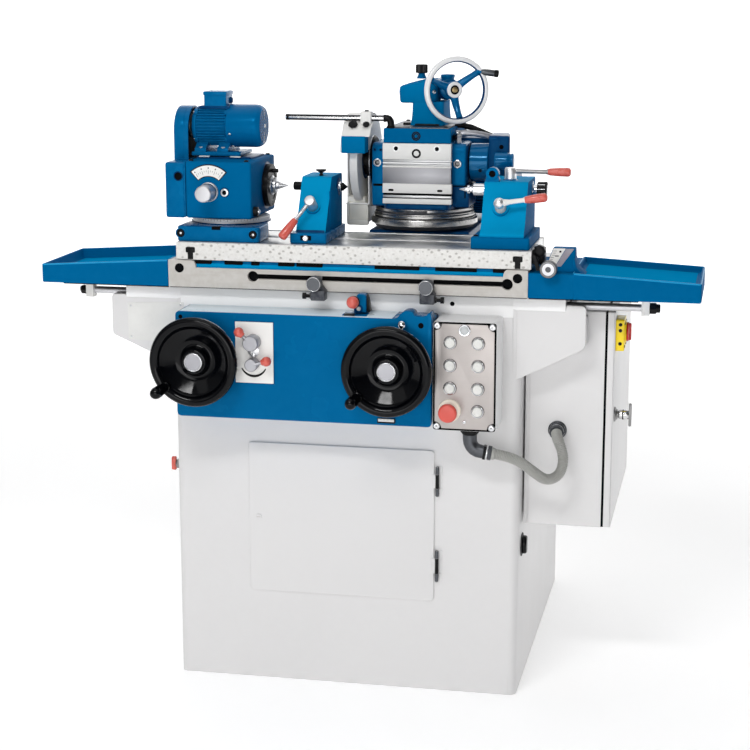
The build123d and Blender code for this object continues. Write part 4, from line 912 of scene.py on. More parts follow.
# ---------------------------------------------------------------- wheel, flanges, guard
P = Piece("wheel_arbor", "wheel")
P.lathe(STEELT, (0, WSY, WSZ), (1, 0, 0), [(0, -58), (10, -58), (11, -56.6), (11, -53), (20, -52.6, 0.5), (28, -50, 1.5), (28, -42.2)], 48, cap=False)
P.lathe(BLACKM, (0, WSY, WSZ), (1, 0, 0), [(34, -23.8), (34, -14, 1.5), (22, -11.6), (16, -11.4), (16, 260)], 56, cap=False)
P.lathe(STEELT, (0, WSY, WSZ), (1, 0, 0), [(16, 268), (16, 279), (36, 279.2, 0.5), (36, 284, 1), (31, 287), (31, 294), (36, 297, 1), (36, 301.8, 0.5), (12, 302), (12, 304), (0, 304)], 48, cap=False)
P.done("wheel_spindle", slot="ground_steel")
P = Piece("abrasive_wheel", "wheel")
P.lathe(STONE, (0, WSY, WSZ), (1, 0, 0), [(16.4, -42), (98.4, -42), (99.6, -41, 0.8), (99.6, -25, 0.8), (98.4, -24), (16.4, -24)], 128, cap=False)
for x, s in ((-42, -1), (-24, 1)):
    P.lathe(BLUE_SHADED, (x, WSY, WSZ), (s, 0, 0), [(44, -0.2), (44, 0.35), (30, 0.4)], 64, cap=False)
P.done("grinding_wheel", slot="abrasive")

P = Piece("wheel_guard_shell", "wheelhead")
ARC = arc(WSY, WSZ, 109, 166.5, -114, 80)
ARCI = arc(WSY, WSZ, 105.6, 166.5, -114, 80)
P.prism(WHITE2, ARC + ARCI[::-1], "x", -63, -6, 0, 0.8, 1)
P.prism(WHITE2, arc(WSY, WSZ, 109, 104, -104, 60), "x", -63.2, -60.2, 0, 0.8, 1)
P.prism(WHITE2, ARC + [(302, 1190)], "x", -9.4, -6, 0, 0.8, 1)
# screws on the far side of the guard
for a in (20, 76, -30, -76):
    cap_screw(P, (-63, WSY + 96 * cos(radians(a)), WSZ + 96 * sin(radians(a))), (-1, 0, 0), 5, 2.4)
# blue nose block in front of the wheel, in a lighter blue: painted light
P.box(BLUE_LIT_COPY, -57, -1.5, 231, 272, 1187.5, 1226, 2.0, 3)
# white sloping head with its two black clamp screws
P.prism(WHITE2, [(236, 1225), (300, 1225), (300, 1258), (284, 1263), (250, 1240)], "x", -55.5, 8, [1.5, 1.5, 4, 8, 6], 2.0, 2)
for x, r in ((-35, 11.0), (-4, 8.0)):
    n = Vector((0, -0.62, 0.78)).normalized()
    q = Vector((x, 261, 1247.0))
    P.lathe(BLACKM, q, n, [(4.0, -3), (4.0, 2.4), (r, 3.4, 1), (r, 8.6, 1.4), (0, 9.2)], 7, cap=False)
# black inner flange next to the bearing boss
P.lathe(BLACKM, (-6.4, WSY, WSZ), (1, 0, 0), [(40, -4), (57, -4, 1), (57, 4, 1.5), (52, 8.8, 1), (44, 9.2)], 72, cap=False)
P.torus(SILVER, (-4.6, WSY, WSZ), (1, 0, 0), 57, 1.2, 72, 10)
# lower box: open front, cream inside
P.prism(CREAM, [(-60, 1014.4), (-10, 1014.4), (-10, 1027), (-55, 1027), (-55, 1070), (-60, 1064)], "y", 304, 318, [7, 2, 1, 2, 1, 4], 1.2, 2)
P.box(CREAM, -13, -9, 304, 318, 1025, 1056, 1.0)
P.box(CREAM, -57, -11, 309, 314, 1024, 1066, 0.4)
P.box(CREAM, -60, -17.6, 314, 440, 1014.4, 1080, 3.0)
P.lathe(BLACKM, (-30, 330, 1014), (0, 0, -1), [(6, -2), (6, 2.6, 0.8), (0, 3)], 20, cap=False)
P.done("wheel_guard", slot="white_paint")

P = Piece("coolant_tube", "wheelhead")
# tube with the painted reflection bands
P.lathe(PIPE_REFLECTION, (-197, 276, 1265), (1, 0, 0), [(5.2, 2), (5.2, 0), (6.8, 0, 0.4), (6.8, 236)], 48, cap=False)
P.lathe(GAP_SHADE, (-196, 276, 1265), (1, 0, 0), [(5.3, 0), (5.1, 1.0), (0, 1.2)], 24, cap=False)
P.ring(BLACKM, (-194, 276, 1265), (1, 0, 0), [(7.0, 0), (7.0, 5), (6.5, 5), (6.5, 0)], 32)
# saddle clamp
P.box(WHITE2, -19, 6, 262.5, 289.5, 1251.5, 1280, 2.0, 3)
P.lathe(BLACKM, (-6.4, 276, 1279.4), (0, 0, 1), [(5, 0), (5, 3.6, 0.8), (0, 4)], 7, cap=False)
# black elbow at the right end
P.tube(BLACKM, [(36, 276, 1265), (42, 276, 1265), (46.5, 276, 1263), (49.5, 276, 1258), (50, 276, 1252), (50, 276, 1243.6)], 8.0, 20)
P.ring(BLACKM, (34, 276, 1265), (1, 0, 0), [(9.4, 0), (9.4, 5), (6.6, 5), (6.6, 0)], 6)
P.lathe(BLACKM, (50, 276, 1243.2), (0, 0, 1), [(10.6, 0), (10.6, 4, 0.8), (8, 5)], 6, cap=False)
P.done("coolant_pipe", slot="bright_chrome")

# ---------------------------------------------------------------- belt guard and wheel motor behind the head
P = Piece("wheel_belt_guard", "wheelhead")
tall = round_poly([(300, 1081), (474, 1081), (474, 1128), (398, 1227.6), (300, 1227.6)], [4, 4, 8, 14, 12], 6)
low = round_poly([(326, 1078), (326, 1128.6), (640, 1111.6), (668, 1085), (668, 1014.4), (560, 1014.4)], [4, 4, 16, 16, 20, 40], 7)
# guard plates in the darker blue: painted shade
P.prism(BLUE_SHADED, tall, "x", 272.8, 298, 0, 1.2)
P.prism(BLUE_SHADED, low, "x", 272.8, 296, 0, 1.0)
# dark sheet between the guard plates: painted shade
P.prism(GAP_SHADE, inset(low, 1.2), "x", 295.4, 298, 0, 0)
P.prism(BLUE_SHADED, low, "x", 297.4, 308.8, 0, 3.0, 3)
# tall front lobe: its cover narrows to the rear
P.hull(BLUE_SHADED, [(x, y, z) for x, y, z in ((290, 300.6, 1083), (320, 300.6, 1083), (320, 318, 1083), (299, 472, 1083), (290, 472, 1083),
                                          (290, 300.6, 1227), (320, 300.6, 1227), (320, 318, 1227), (309, 396, 1227), (290, 396, 1227),
                                          (299, 472, 1130), (290, 472, 1130))], 5.0, 4)
for y, z in ((352, 1100), (420, 1090), (646, 1040), (646, 1084), (560, 1036), (560, 1100)):
    cap_screw(P, (308.8, y, z), (1, 0, 0), 4.5, 3.0, SILVER)
for i in range(6):
    P.prism(GAP_SHADE, [(582 + i * 9, 1046), (586 + i * 9, 1046), (586 + i * 9, 1084), (582 + i * 9, 1084)], "x", 308, 309.0, 1.9, 0)
# grease barrel lying across its front edge
P.lathe(BLUEG, (289, 283, 1172), (1, 0, 0), [(0, 0), (15, 0, 2.0), (19.6, 2, 2.5), (19.2, 30, 1.5), (17.0, 35), (16.2, 36.6), (16.2, 38.2), (17.4, 38.8, 0.6), (17.4, 43, 2.0), (12, 44.8, 1.0), (0, 45)], 48, cap=False)
P.box(BLUE_SHADED, 291, 313, 285, 301.4, 1162, 1182, 3.0)
P.lathe(GAP_SHADE, (302, 300.2, 1202), (0, -1, 0), [(5.0, -1), (5.0, 0.6, 0.3), (3.4, 0.9), (0, 1.0)], 24, cap=False)
P.done("belt_guard", slot="blue_paint")

P = Piece("wheel_drive_motor", "wheelhead")
MWY, MWZ = 600.0, 1063.0
P.lathe(BLUE, (62, MWY, MWZ), (1, 0, 0), [(0, 0.4), (44, 0.4), (48, 3, 2), (50, 12, 3), (50, 60, 1), (48.5, 62), (45, 63), (45, 190), (49, 192), (49, 200, 2), (32, 208), (12, 208.4)], 72, cap=False)
P.lathe(GRILLE, (62, MWY, MWZ), (-1, 0, 0), [(43, -0.2), (42, 0.2), (0, 0.4)], 64, cap=False)
for i in range(40):
    a = i * 9.0
    if 60 < a < 120:
        continue
    M = Matrix.Translation((0, MWY, MWZ)) @ Matrix.Rotation(radians(a), 4, "X")
    P.box(BLUE, 126, 252, 44, 49.8, -1.0, 1.0, 0.5, 1, mat=M)
P.box(BLUE, 97, 165, 576, 624, 1100, 1132, 3.0, 3)
P.box(BLUE, 95.4, 166.6, 574.4, 625.6, 1130, 1139.6, 2.5, 3)
for x in (102, 160):
    for y in (581, 619):
        pan_screw(P, (x, y, 1139.2), (0, 0, 1), 3.0, 0.8)
P.lathe(BLACKM, (97, 600, 1117), (-1, 0, 0), [(9, -2), (9, 5, 0.8), (7, 6), (7, 12, 1), (0, 12.5)], 6, cap=False)
for x in (90, 160):
    P.box(BLUE, x - 14, x + 14, 545.2, 572, 1030, 1096, 2.0)
P.lathe(STEELT, (268, MWY, MWZ), (1, 0, 0), [(11, 0), (11, 4), (20, 4.4)], 32, cap=False)
P.lathe(STEELT, (278, MWY, MWZ), (1, 0, 0), [(11, -6), (11, 1), (36, 1.2, 0.5), (36, 6, 1), (31, 9), (31, 16), (36, 19, 1), (36, 23.6, 0.5), (0, 24)], 48, cap=False)
P.done("wheel_motor", slot="blue_paint")

# ---------------------------------------------------------------- column with its handwheel
HH, HD, RX = Vector((184.2, 350.1, 1327)), Vector((0.454, -0.891, 0)).normalized(), Vector((0.891, 0.454, 0)).normalized()
UP = Vector((0, 0, 1))
P = Piece("dresser_pillar", "wheelhead")
t = bmesh.new()
rows = []
for z, f in ((1245.5, 1.0), (1249, 0.985), (1256, 0.95), (1266, 0.925), (1280, 0.905), (1299, 0.895)):
    ol = round_poly([(123.5 - 41 * f, 394 - 56 * f), (123.5 + 41 * f, 394 - 56 * f), (123.5 + 41 * f, 394 + 56 * f), (123.5 - 41 * f, 394 + 56 * f)], 9, 5)
    rows.append([t.verts.new((a, b, z)) for a, b in ol])
for A, B in zip(rows, rows[1:]):
    for i in range(len(A)):
        j = (i + 1) % len(A)
        t.faces.new((A[i], A[j], B[j], B[i]))
t.faces.new(rows[0]); t.faces.new(rows[-1])
bmesh.ops.recalc_face_normals(t, faces=t.faces[:])
# pillar in a lighter blue: painted light
P.put(t, BLUE_LIT_COPY)
for y in (332, 456):
    P.box(BLACKM, 96, 152, y - 6, y + 6, 1245.2, 1249.4, 1.2)
P.box(BLACKM, 64, 86, 350, 372, 1245.2, 1250.5, 1.5)
# head: swelling block with rounded corners and a low lid, in a lighter blue: painted light
t = bmesh.new()
rows = []
for z, g, c in ((1296, -5, 12), (1297.2, -1.6, 15), (1301, 0, 17), (1322, 1.6, 18), (1340, 0.6, 17), (1346, -1.5, 16), (1350, -7, 14), (1353, -18, 10), (1354, -30, 6)):
    ol = round_poly([(56 - g, 342 - g), (140 + g, 342 - g), (140 + g, 446 + g), (56 - g, 446 + g)], c, 6)
    rows.append([t.verts.new((a, b, z - max(0.0, z - 1326) * 0.62 * max(0.0, 1 - (a - 56) / 74))) for a, b in ol])
for A, B in zip(rows, rows[1:]):
    for i in range(len(A)):
        j = (i + 1) % len(A)
        t.faces.new((A[i], A[j], B[j], B[i]))
t.faces.new(rows[0]); t.faces.new(rows[-1])
bmesh.ops.recalc_face_normals(t, faces=t.faces[:])
P.put(t, BLUE_LIT_COPY)
P.lathe(BLUEG, HH - HD * 86, HD, [(26, 0), (26, 30, 2), (24, 34, 2), (24, 55, 1.5), (15, 60), (9, 60.4)], 48, cap=False)
P.lathe(BLUE, (162, 392, 1322), (0, 0, 1), [(15, 0), (15, 30, 1.5), (16.5, 31.5, 1), (16.5, 38, 1.5), (0, 40)], 36, cap=False)
pan_screw(P, (138, 344, 1322), (0.5, -0.86, 0), 5, 3, SILVER)
# black knob on a blue neck
P.lathe(BLUE, (100, 394, 1350), (0, 0, 1), [(12, 0), (9.5, 6, 2), (8.0, 10), (8.0, 13)], 32, cap=False)
P.gear(BLACK, (100, 394, 1362.6), (0, 0, 1), 14, 20, 26, 0.7, 1.4)
P.lathe(BLACK, (100, 394, 1382.0), (0, 0, 1), [(11.5, 0), (10, 0.9, 0.6), (0, 1.0)], 32, cap=False)
P.done("dresser_column", slot="blue_paint")

P = Piece("dresser_wheel", "dresser_handwheel")
# rim: polished outside, blue on its inner side, in the darker blue as painted shade
P.lathe(POLISH, HH + HD * 17, HD, [(66.6, 6.2), (68.6, 7.2, 0.6), (72, 7.4, 1.5), (75.6, 5.8, 2), (77.4, 2, 2), (77.4, -2, 2), (75.6, -5.8, 2), (72, -7.4, 1.5), (68.6, -7.2, 0.6), (66.6, -6.2)], 120, cap=False)
P.lathe(BLUE_SHADED, HH + HD * 17, HD, [(66.7, 6.2), (64.2, 3.4, 1.2), (63.6, 0, 1.0), (64.2, -3.4, 1.2), (66.7, -6.2)], 120, cap=False)
for a in (38, 158, 278):
    e = RX * cos(radians(a)) + UP * sin(radians(a))
    pts, rr = [], []
    for k in range(11):
        u = k / 10
        pts.append(HH + HD * (-8 + 23 * (u ** 1.5)) + e * (10 + 55 * u))
        rr.append(10.4 - 4.2 * u + 7.0 * max(0, u - 0.78) + 3.0 * max(0, 0.25 - u))
    P.tube(BLUEG, pts, rr, 18)
P.lathe(BLUE, HH, HD, [(8, -60), (8, -24), (15, -23.4, 1), (15, -18), (19, -14, 3), (20, 0, 2), (18.4, 2.4, 1)], 48, cap=False)
P.lathe(POLISH, HH, HD, [(18.6, 1.6), (18.2, 5.0, 1.2), (16.4, 6.2, 0.6), (11.0, 6.2, 0.4), (10.4, 3.6)], 48, cap=False)
P.lathe(GAP_SHADE, HH, HD, [(10.6, 3.0), (10.4, 4.0), (6.4, 4.1)], 36, cap=False)
P.lathe(BRASS, HH, HD, [(6.8, 3), (6.8, 5.4, 1.2), (4.2, 6.4, 0.8), (0, 6.5)], 24, cap=False)
# handle folded outwards
e = RX * cos(radians(38)) + UP * sin(radians(38))
hd = (RX * 0.95 + HD * 0.28 - UP * 0.12).normalized()
c = HH + HD * 19 + e * 68
P.lathe(BLUE, c - hd * 6, hd, [(0, -2), (6.0, -1, 1.5), (7.0, 3, 1.5), (5.4, 8, 1.0), (5.2, 12)], 28, cap=False)
P.lathe(GLAND, c, hd, [(5.0, 4), (5.6, 5), (7.2, 12, 2), (7.9, 26, 3), (7.6, 34, 1), (7.2, 35)], 32, cap=False)
P.lathe(BLACKM, c, hd, [(7.3, 34.6), (8.4, 36, 0.8), (8.6, 42.6, 1.0), (7.8, 44.6, 0.6), (5.8, 44.8)], 32, cap=False)
P.lathe(POLISH, c, hd, [(6.0, 44.0), (5.6, 45.4, 0.6), (0, 46)], 32, cap=False)
P.done("dresser_handwheel", slot="bright_chrome")


# ---------------------------------------------------------------- right tailstock
TP = Vector((337, 41.8, 1092))
TN, TU = Vector((0, -0.8765, 0.4815)), Vector((0, 0.4815, 0.8765))
P = Piece("tailstock_housing", "swivel")
P.prism(BLUEL, [(278, 0), (405, 0), (405, 205), (278, 205)], "z", 1009, 1034, 6, 2.5, 3)
# sloped housing whose upward faces are painted lighter: painted light
P.prism(BLUE_UPWARD_LIT, [(2, 1033), (205, 1033), (205, 1147), (72, 1147), (22, 1056), (5, 1041)], "x", 297, 392, [2, 2, 8, 8, 12, 4], 3.5, 3)
# dark band where the base meets the table: painted shadow line
P.box(GAP_SHADE, 280, 403, 1.2, 30, 1008.6, 1011.0, 0)
# boss of the clamp lever
P.lathe(BLUE_UPWARD_LIT, TP, TN, [(18, -8), (18, 2.4, 0.8), (14, 3.2, 0.5), (12.4, 3.2)], 40, cap=False)
# eye on the left shoulder
P.ring(BLUE, (313, 73.5, 1163), (0, 1, 0), [(14, 0.6), (13.4, 0), (13.4, 0), (14, 20.5), (7.4, 20.5), (7.4, 0), (8, -0.2)], 40)
P.prism(BLUE, [(294, 1138), (332, 1138), (328, 1150), (326.6, 1156), (299.4, 1156), (298, 1150)], "y", 74.4, 93.6, 0, 1.2)
P.lathe(GAP_SHADE, (313, 76, 1163), (0, 1, 0), [(7.5, 0), (7.4, 0.4), (0, 0.5)], 28, cap=False)
# quill bore collars
P.lathe(BLUE_SHADED, (297, 160, 1119), (-1, 0, 0), [(25, -2), (25, 2.0, 0.8), (15, 2.2), (14.4, 0)], 44, cap=False)
P.lathe(BLUE, (392, 160, 1119), (1, 0, 0), [(22, -2), (22, 0.6, 0.3), (15, 0.8), (14.4, 0)], 44, cap=False)
# pedestal of the quill lever
P.lathe(BLUE, (348, 112, 1145), (0, 0, 1), [(17, 0), (17, 2.4, 0.8), (12.8, 3.0)], 36, cap=False)
P.lathe(SILVER, (330, 180, 1146.6), (0, 0, 1), [(6, -1), (6, 2, 0.6), (3, 2.6), (3, 5, 1), (0, 5.2)], 20, cap=False)
for y in (24, 184):
    cap_screw(P, (286, y, 1033.4), (0, 0, 1), 5.0, 3.0)
P.done("tailstock_body", slot="blue_paint")

P = Piece("tailstock_sleeve", "tailstock_quill")
P.lathe(CHROME, (0, 160, 1119), (1, 0, 0), [(0, 228.2), (0.8, 228.6), (5.0, 243), (5.0, 246), (9.6, 246.6, 0.4), (9.6, 251, 0.4), (6.4, 251.6), (6.4, 258), (11.6, 259, 0.5), (13.8, 261, 0.5), (13.8, 404)], 40, cap=False)
P.gear(BLACKM, (402.4, 160, 1119), (1, 0, 0), 20.6, 21.6, 22, 1.2, 1.6)
P.lathe(SILVER, (423.2, 160, 1119), (1, 0, 0), [(14, 0), (13, 1.6, 0.6), (6, 2.4), (0, 2.5)], 36, cap=False)
for i in range(11):
    M = Matrix.Translation((0, 160, 1119)) @ Matrix.Rotation(radians(i * 360 / 11), 4, "X")
    P.box(SILVER, 404.4, 420, 19.2, 20.7, -1.0, 1.0, 0.4, 1, mat=M)
P.done("tailstock_quill", slot="ground_steel")

P = Piece("tailstock_quill_handle", "tailstock_quill_lever")
P.lathe(BALLW, (348, 112, 0), (0, 0, 1), [(7.5, 1120), (7.5, 1147.6), (12.6, 1148, 0.6), (13.4, 1150, 0.6), (12.6, 1158), (13.2, 1170), (11.4, 1173.6, 1.5), (0, 1175)], 40, cap=False)
qd = Vector((1, 0, 0))
P.lathe(STEELD, (348, 112, 1166), qd, [(5.0, 6), (4.6, 78), (6.0, 79, 0.6), (6.0, 84)], 24, cap=False)
P.lathe(RED, (348, 112, 1166), qd, [(0, 82), (6.6, 82, 1), (7.8, 86), (9.4, 106), (9.8, 124), (9.2, 129, 2), (5.4, 131.6, 1.6), (0, 132)], 32, cap=False)
P.done("tailstock_quill_lever", slot="red_grip")

td = (TU * 0.16 + Vector((1, 0, 0)) * 0.985).normalized()
P = Piece("tailstock_clamp_handle", "tailstock_clamp_lever")
P.lathe(GREY, TP, TN, [(7, -26), (7, 0.6), (11.6, 0.7), (12, 2.4, 0.6), (11.2, 20), (9.4, 25)], 40, cap=False)
c = TP + TN * 30
P.ball(BALLW, c, 12.0, 32)
P.lathe(WHITE2, c, td, [(8.6, 5), (7.4, 12), (5.2, 22), (4.6, 52), (6.0, 53, 0.6), (6.0, 57)], 28, cap=False)
P.lathe(RED, c, td, [(0, 55), (6.8, 55, 1), (7.8, 59), (9.4, 78), (9.8, 94), (9.2, 100, 2), (5.2, 103.4, 1.6), (0, 104)], 32, cap=False)
P.done("tailstock_clamp_lever", slot="red_grip")


# ---------------------------------------------------------------- lower table
P = Piece("lower_table_slide", "table")
# top and grey front plate, with a recess along its upper edge and a slot below it
P.box(STEELD, -391, 405, -8, 234, 939, 968.4, 1.5)
edge = [(-392, 910), (406, 910), (406, 969), (362, 969)]
edge += [(362 - 9 * sin(t * pi / 16), 969 - 15.5 * (1 - cos(t * pi / 16))) for t in range(1, 9)]
edge += [(353 + 0.0 - k, 953.5) for k in (3,)]
edge += [(-329, 953.5)]
edge += [(-329 - 9 * (1 - cos(t * pi / 16)), 953.5 + 15.5 * sin(t * pi / 16)) for t in range(1, 9)]
edge += [(-392, 969)]
# plate in two halves around the slot
def plate(pts, y0, y1, m, r=0.8):
    P.prism(m, pts, "y", y0, y1, 0, r, 2)
SLX0, SLX1, SLZ = -199.0, 362.0, 938.0
upper = [(-392, SLZ), (SLX0 - 12, SLZ)] + arc(SLX0, SLZ, 12, 180, 28, 14) + [(SLX0 + 10.5, SLZ + 5.6), (SLX1 - 10.5, SLZ + 5.6)] + arc(SLX1, SLZ, 12, 152, 0, 14) + [(406, SLZ)] + [p for p in edge[2:]]
lower = [(-392, 910), (406, 910), (406, SLZ), (SLX1 + 12, SLZ)] + arc(SLX1, SLZ, 12, 0, -152, 14) + [(SLX1 - 10.5, SLZ - 5.6), (SLX0 + 10.5, SLZ - 5.6)] + arc(SLX0, SLZ, 12, -28, -180, 14) + [(-392, SLZ)]
plate(upper, -25, -13, GREY, 0.5)
plate(lower, -25, -13, GREY, 0.5)
P.box(GAP_SHADE, SLX0 - 15, SLX1 + 15, -14.4, -12.6, 924, 952, 0)
# dark strip along its lower edge: painted shade in the gap
P.box(GAP_SHADE, -390, 404, -21.5, 40, 907.8, 910.6, 0.3)
P.box(GREY, -391.8, 405.8, -13.4, -4, 910.4, 926, 0.4)
P.box(GREY, -391.8, SLX0 - 11, -13.4, -4, 920, 953, 0.4)
P.box(GREY, SLX1 + 11, 405.8, -13.4, -4, 920, 953, 0.4)
for x, z in ((-366.5, 952.0), (384, 951.4)):
    P.lathe(GAP_SHADE, (x, -25.05, z), (0, -1, 0), [(10.4, -4), (10.4, 0.2), (0, 0.25)], 32, cap=False)
    P.ring(GREY, (x, -25.0, z), (0, -1, 0), [(11.6, -0.5), (11.4, 0.35), (10.4, 0.35), (10.2, -0.5)], 32)
# blue strip in the recess, in a lighter blue as painted light, with short dark slots above it
P.box(BLUE_TOPLIT, -338, 361, -17.5, -8, 950, 963.0, 1.0)
P.box(BLUE, -338, 361, -14.0, -8, 962.4, 968.6, 0.8)
for a, b in ((-333, -295), (-265, -224), (-204, -186), (-143, -107), (-102, -44), (72, 170), (205, 295), (330, 360)):
    P.prism(GAP_SHADE, [(a, 961.6), (b, 961.6), (b, 970.0), (a, 970.0)], "y", -19.0, -12, 1.2, 0)
# ends, back rail and runners
P.box(GREY, -392, -380.4, -13, 235, 910.2, 968.6, 1.0)
P.box(GREY, 394.4, 406, -13, 235, 910.2, 968.6, 1.0)
P.box(IRON, -392, 406, 215, 235, 910.2, 941, 1.0)
P.box(IRON, -392, 406, 60.2, 101.8, 905.4, 941, 0.6)
P.prism(IRON, [(134, 941), (134, 905.2), (140, 905.2), (157, 911), (183, 911), (200, 905.2), (206, 905.2), (206, 941)], "x", -392, 406, 0, 0.4)
P.lathe(STEELT, (18, 100, 968), (0, 0, 1), [(14.6, 0), (14.6, 15.4), (13.2, 16), (0, 16)], 36, cap=False)
P.done("lower_table", slot="grey_paint")

# ---------------------------------------------------------------- drip trays
P = Piece("drip_trays", "table")
def tray(x0, x1, y0, y1, zb, za, ze, deep):
    """open pan of sheet with a rolled rim; za at x0, ze at x1"""
    w = 3.2
    t = bmesh.new()
    def ring(ins, zf):
        pts = round_poly([(x0 + ins, y0 + ins), (x1 - ins, y0 + ins), (x1 - ins, y1 - ins), (x0 + ins, y1 - ins)], max(1.2, 5 - ins), 4)
        return [t.verts.new((x, y, zf(x))) for x, y in pts]
    zt = lambda x: za + (ze - za) * (x - x0) / (x1 - x0)
    R = [ring(2.0, lambda x: zb), ring(0.0, lambda x: zb + 2.0), ring(0.0, lambda x: zt(x) - 2.2), ring(0.5, lambda x: zt(x) - 0.6), ring(1.5, lambda x: zt(x)),
         ring(w + 1.5, lambda x: zt(x)), ring(w + 2.6, lambda x: zt(x) - 0.8), ring(w + 3.0, lambda x: zt(x) - 2.2), ring(w + 5.0, lambda x: zt(x) - deep * 0.72), ring(w + 8.5, lambda x: zt(x) - deep * 0.93), ring(w + 15, lambda x: zt(x) - deep)]
    for A, B in zip(R, R[1:]):
        for i in range(len(A)):
            j = (i + 1) % len(A)
            t.faces.new((A[i], A[j], B[j], B[i]))
    t.faces.new(R[0]); t.faces.new(R[-1])
    bmesh.ops.recalc_face_normals(t, faces=t.faces[:])
    P.put(t, BLUEL)
    # rolled bead lying on the rim, in a lighter blue: painted highlight along the rim
    for e in ([(x0 + 3, y0 + 1.6), (x1 - 3, y0 + 1.6)], [(x0 + 3, y1 - 1.6), (x1 - 3, y1 - 1.6)]):
        P.tube(BLUE_RIM_HIGHLIGHT, [(e[0][0], e[0][1], zt(e[0][0]) - 1.2), (0.5 * (e[0][0] + e[1][0]), e[0][1], zt(0.5 * (e[0][0] + e[1][0])) - 1.2), (e[1][0], e[1][1], zt(e[1][0]) - 1.2)], 2.2, 10)
    for x in (x0 + 1.8, x1 - 1.8):
        P.tube(BLUE_RIM_HIGHLIGHT, [(x, y0 + 3, zt(x) - 1.3), (x, 0.5 * (y0 + y1), zt(x) - 1.3), (x, y1 - 3, zt(x) - 1.3)], 1.7, 10)
    # floor of the pan in a lighter blue with a satin finish: painted light from above
    t = bmesh.new()
    A, B = ring(w + 12.0, lambda x: zt(x) - deep - 0.4), ring(w + 12.4, lambda x: zt(x) - deep + 0.6)
    for i in range(len(A)):
        j = (i + 1) % len(A)
        t.faces.new((A[i], A[j], B[j], B[i]))
    t.faces.new(B)
    bmesh.ops.recalc_face_normals(t, faces=t.faces[:])
    P.put(t, BLUE_TOPLIT)
tray(-689, -392.2, -25, 228, 910, 951, 968.8, 22.0)
tray(500.2, 771, -25, 228, 910, 966, 951, 13.0)
# drain plugs below
for x0, x1 in ((-680, -401), (510, 762)):
    P.lathe(BLUE_SHADED, ((x0 + x1) / 2, 190, 911), (0, 0, -1), [(13, -2), (13, 0.8), (0, 0.9)], 28, cap=False)
# right bracket between table and tray, which carries the taper screw
P.box(BLUEL, 406.2, 501, -25, 228, 910, 964, 2.0, 2)
P.box(BLUEL, 494, 509, -24.7, 6, 911.2, 963.4, 0)
# dark strips beside the table ends: painted shade under the trays
P.box(GAP_SHADE, -640, -394, -20, 200, 907.4, 911, 0.4)
P.box(GAP_SHADE, 408, 640, -20, 200, 907.4, 911, 0.4)
# fillet from the block down to the tray
P.prism(BLUEL, [(498, 962), (524, 957), (512, 966), (505, 976), (501, 992), (498, 992)], "y", 4, 64, 0, 0.6)
P.done("end_trays", slot="blue_paint")

# ---------------------------------------------------------------- swivel table
P = Piece("swivel_table_top", "swivel")
s0, s1 = -375.0, 412.0
P.box(STEEL, s0, s1, -9, 92, 970.4, 1009, 0.6)
P.box(STEEL, s0, s1, 106, 200, 970.4, 1009, 0.6)
P.box(STEEL, s0, s1, 214, 225, 970.4, 1009, 0.6)
P.box(STEELD, s0 + 0.2, s1 - 0.2, 90, 216, 970.6, 986.5, 0.3)
P.box(STEELD, s0 + 0.2, s1 - 0.2, 196, 216, 986, 1000.4, 0.3)
# scraped front strip
P.box(SCRAPE, s0, s1, -20, -8.6, 970.2, 1008.6, 1.2)
# clamp bolts near its ends
for x in (-342, 383):
    P.prism(BLACKM, [(x - 10.5, 987.5), (x - 8.6, 986), (x - 6, 986), (x - 6, 971.5), (x + 6, 971.5), (x + 6, 986), (x + 8.6, 986), (x + 10.5, 987.5), (x + 10.5, 997), (x + 8, 998.5), (x - 8, 998.5), (x - 10.5, 997)], "y", -21.0, -17, 0, 0.4)
    P.lathe(BLACKM, (x, -20.6, 991.5), (0, -1, 0), [(6.4, 0), (6.4, 1.0, 0.4), (3.2, 1.2)], 24, cap=False)
# bracket at the right end: black arms that reach the scale
P.box(BLACKM, s1 - 1, 436, 16, 52, 976.4, 1012, 2.0)
P.lathe(BLACKM, (427, 16, 1008), (0, -1, 0), [(10, -6), (10, 4, 0.8), (13.5, 5, 1.5), (13.5, 20, 2.0), (8, 22, 1), (0, 22.4)], 8, cap=False)
P.prism(BLACKM, [(412, 984), (419, 976.6), (427, 980), (424, 1002), (412, 1012)], "y", -4, 17, [2, 2, 3, 4, 2], 1.0)
P.lathe(SILVER, (415, 6, 1013), (0.5, -0.4, 0.75), [(5, -8), (5, 2, 0.8), (3.4, 3)], 20, cap=False)
P.lathe(STEELD, (421, 4, 990), (0, -1, 0), [(5, -4), (5, 5, 0.8), (0, 5.5)], 6, cap=False)
P.prism(BLACKM, [(413, 1002), (420, 1002), (431, 969), (423, 969)], "y", -19, -8, 2, 0.8)
P.done("swivel_table", slot="ground_steel")

# ---------------------------------------------------------------- taper setting: block, slanted scale, knob
P = Piece("taper_block", "table")
A1, A2, B1, B2 = (440.5, 4, 973), (472, 4, 973), (452, 36, 1011), (500, 36, 1011)
P.hull(BLUEL, [A1, A2, B1, B2, (440.5, 1, 964.2), (502, 1, 964.2), (440.5, 66, 964.2), (502, 66, 964.2), (452, 64, 1011), (500, 64, 1011), (502, 4, 972)], 2.0, 3)


def on_slope(u, v, h):
    """point on the slanted face: u to the right, v up, h above it"""
    a, b = Vector(A1).lerp(Vector(A2), u), Vector(B1).lerp(Vector(B2), u)
    return a.lerp(b, v) + Vector((0, -0.772, 0.635)) * h


def slip(m, u0, u1, v0, v1, h0, h1):
    P.hull(m, [on_slope(u, v, h) for u in (u0, u1) for v in (v0, v1) for h in (h0, h1)], 0.3, 1)


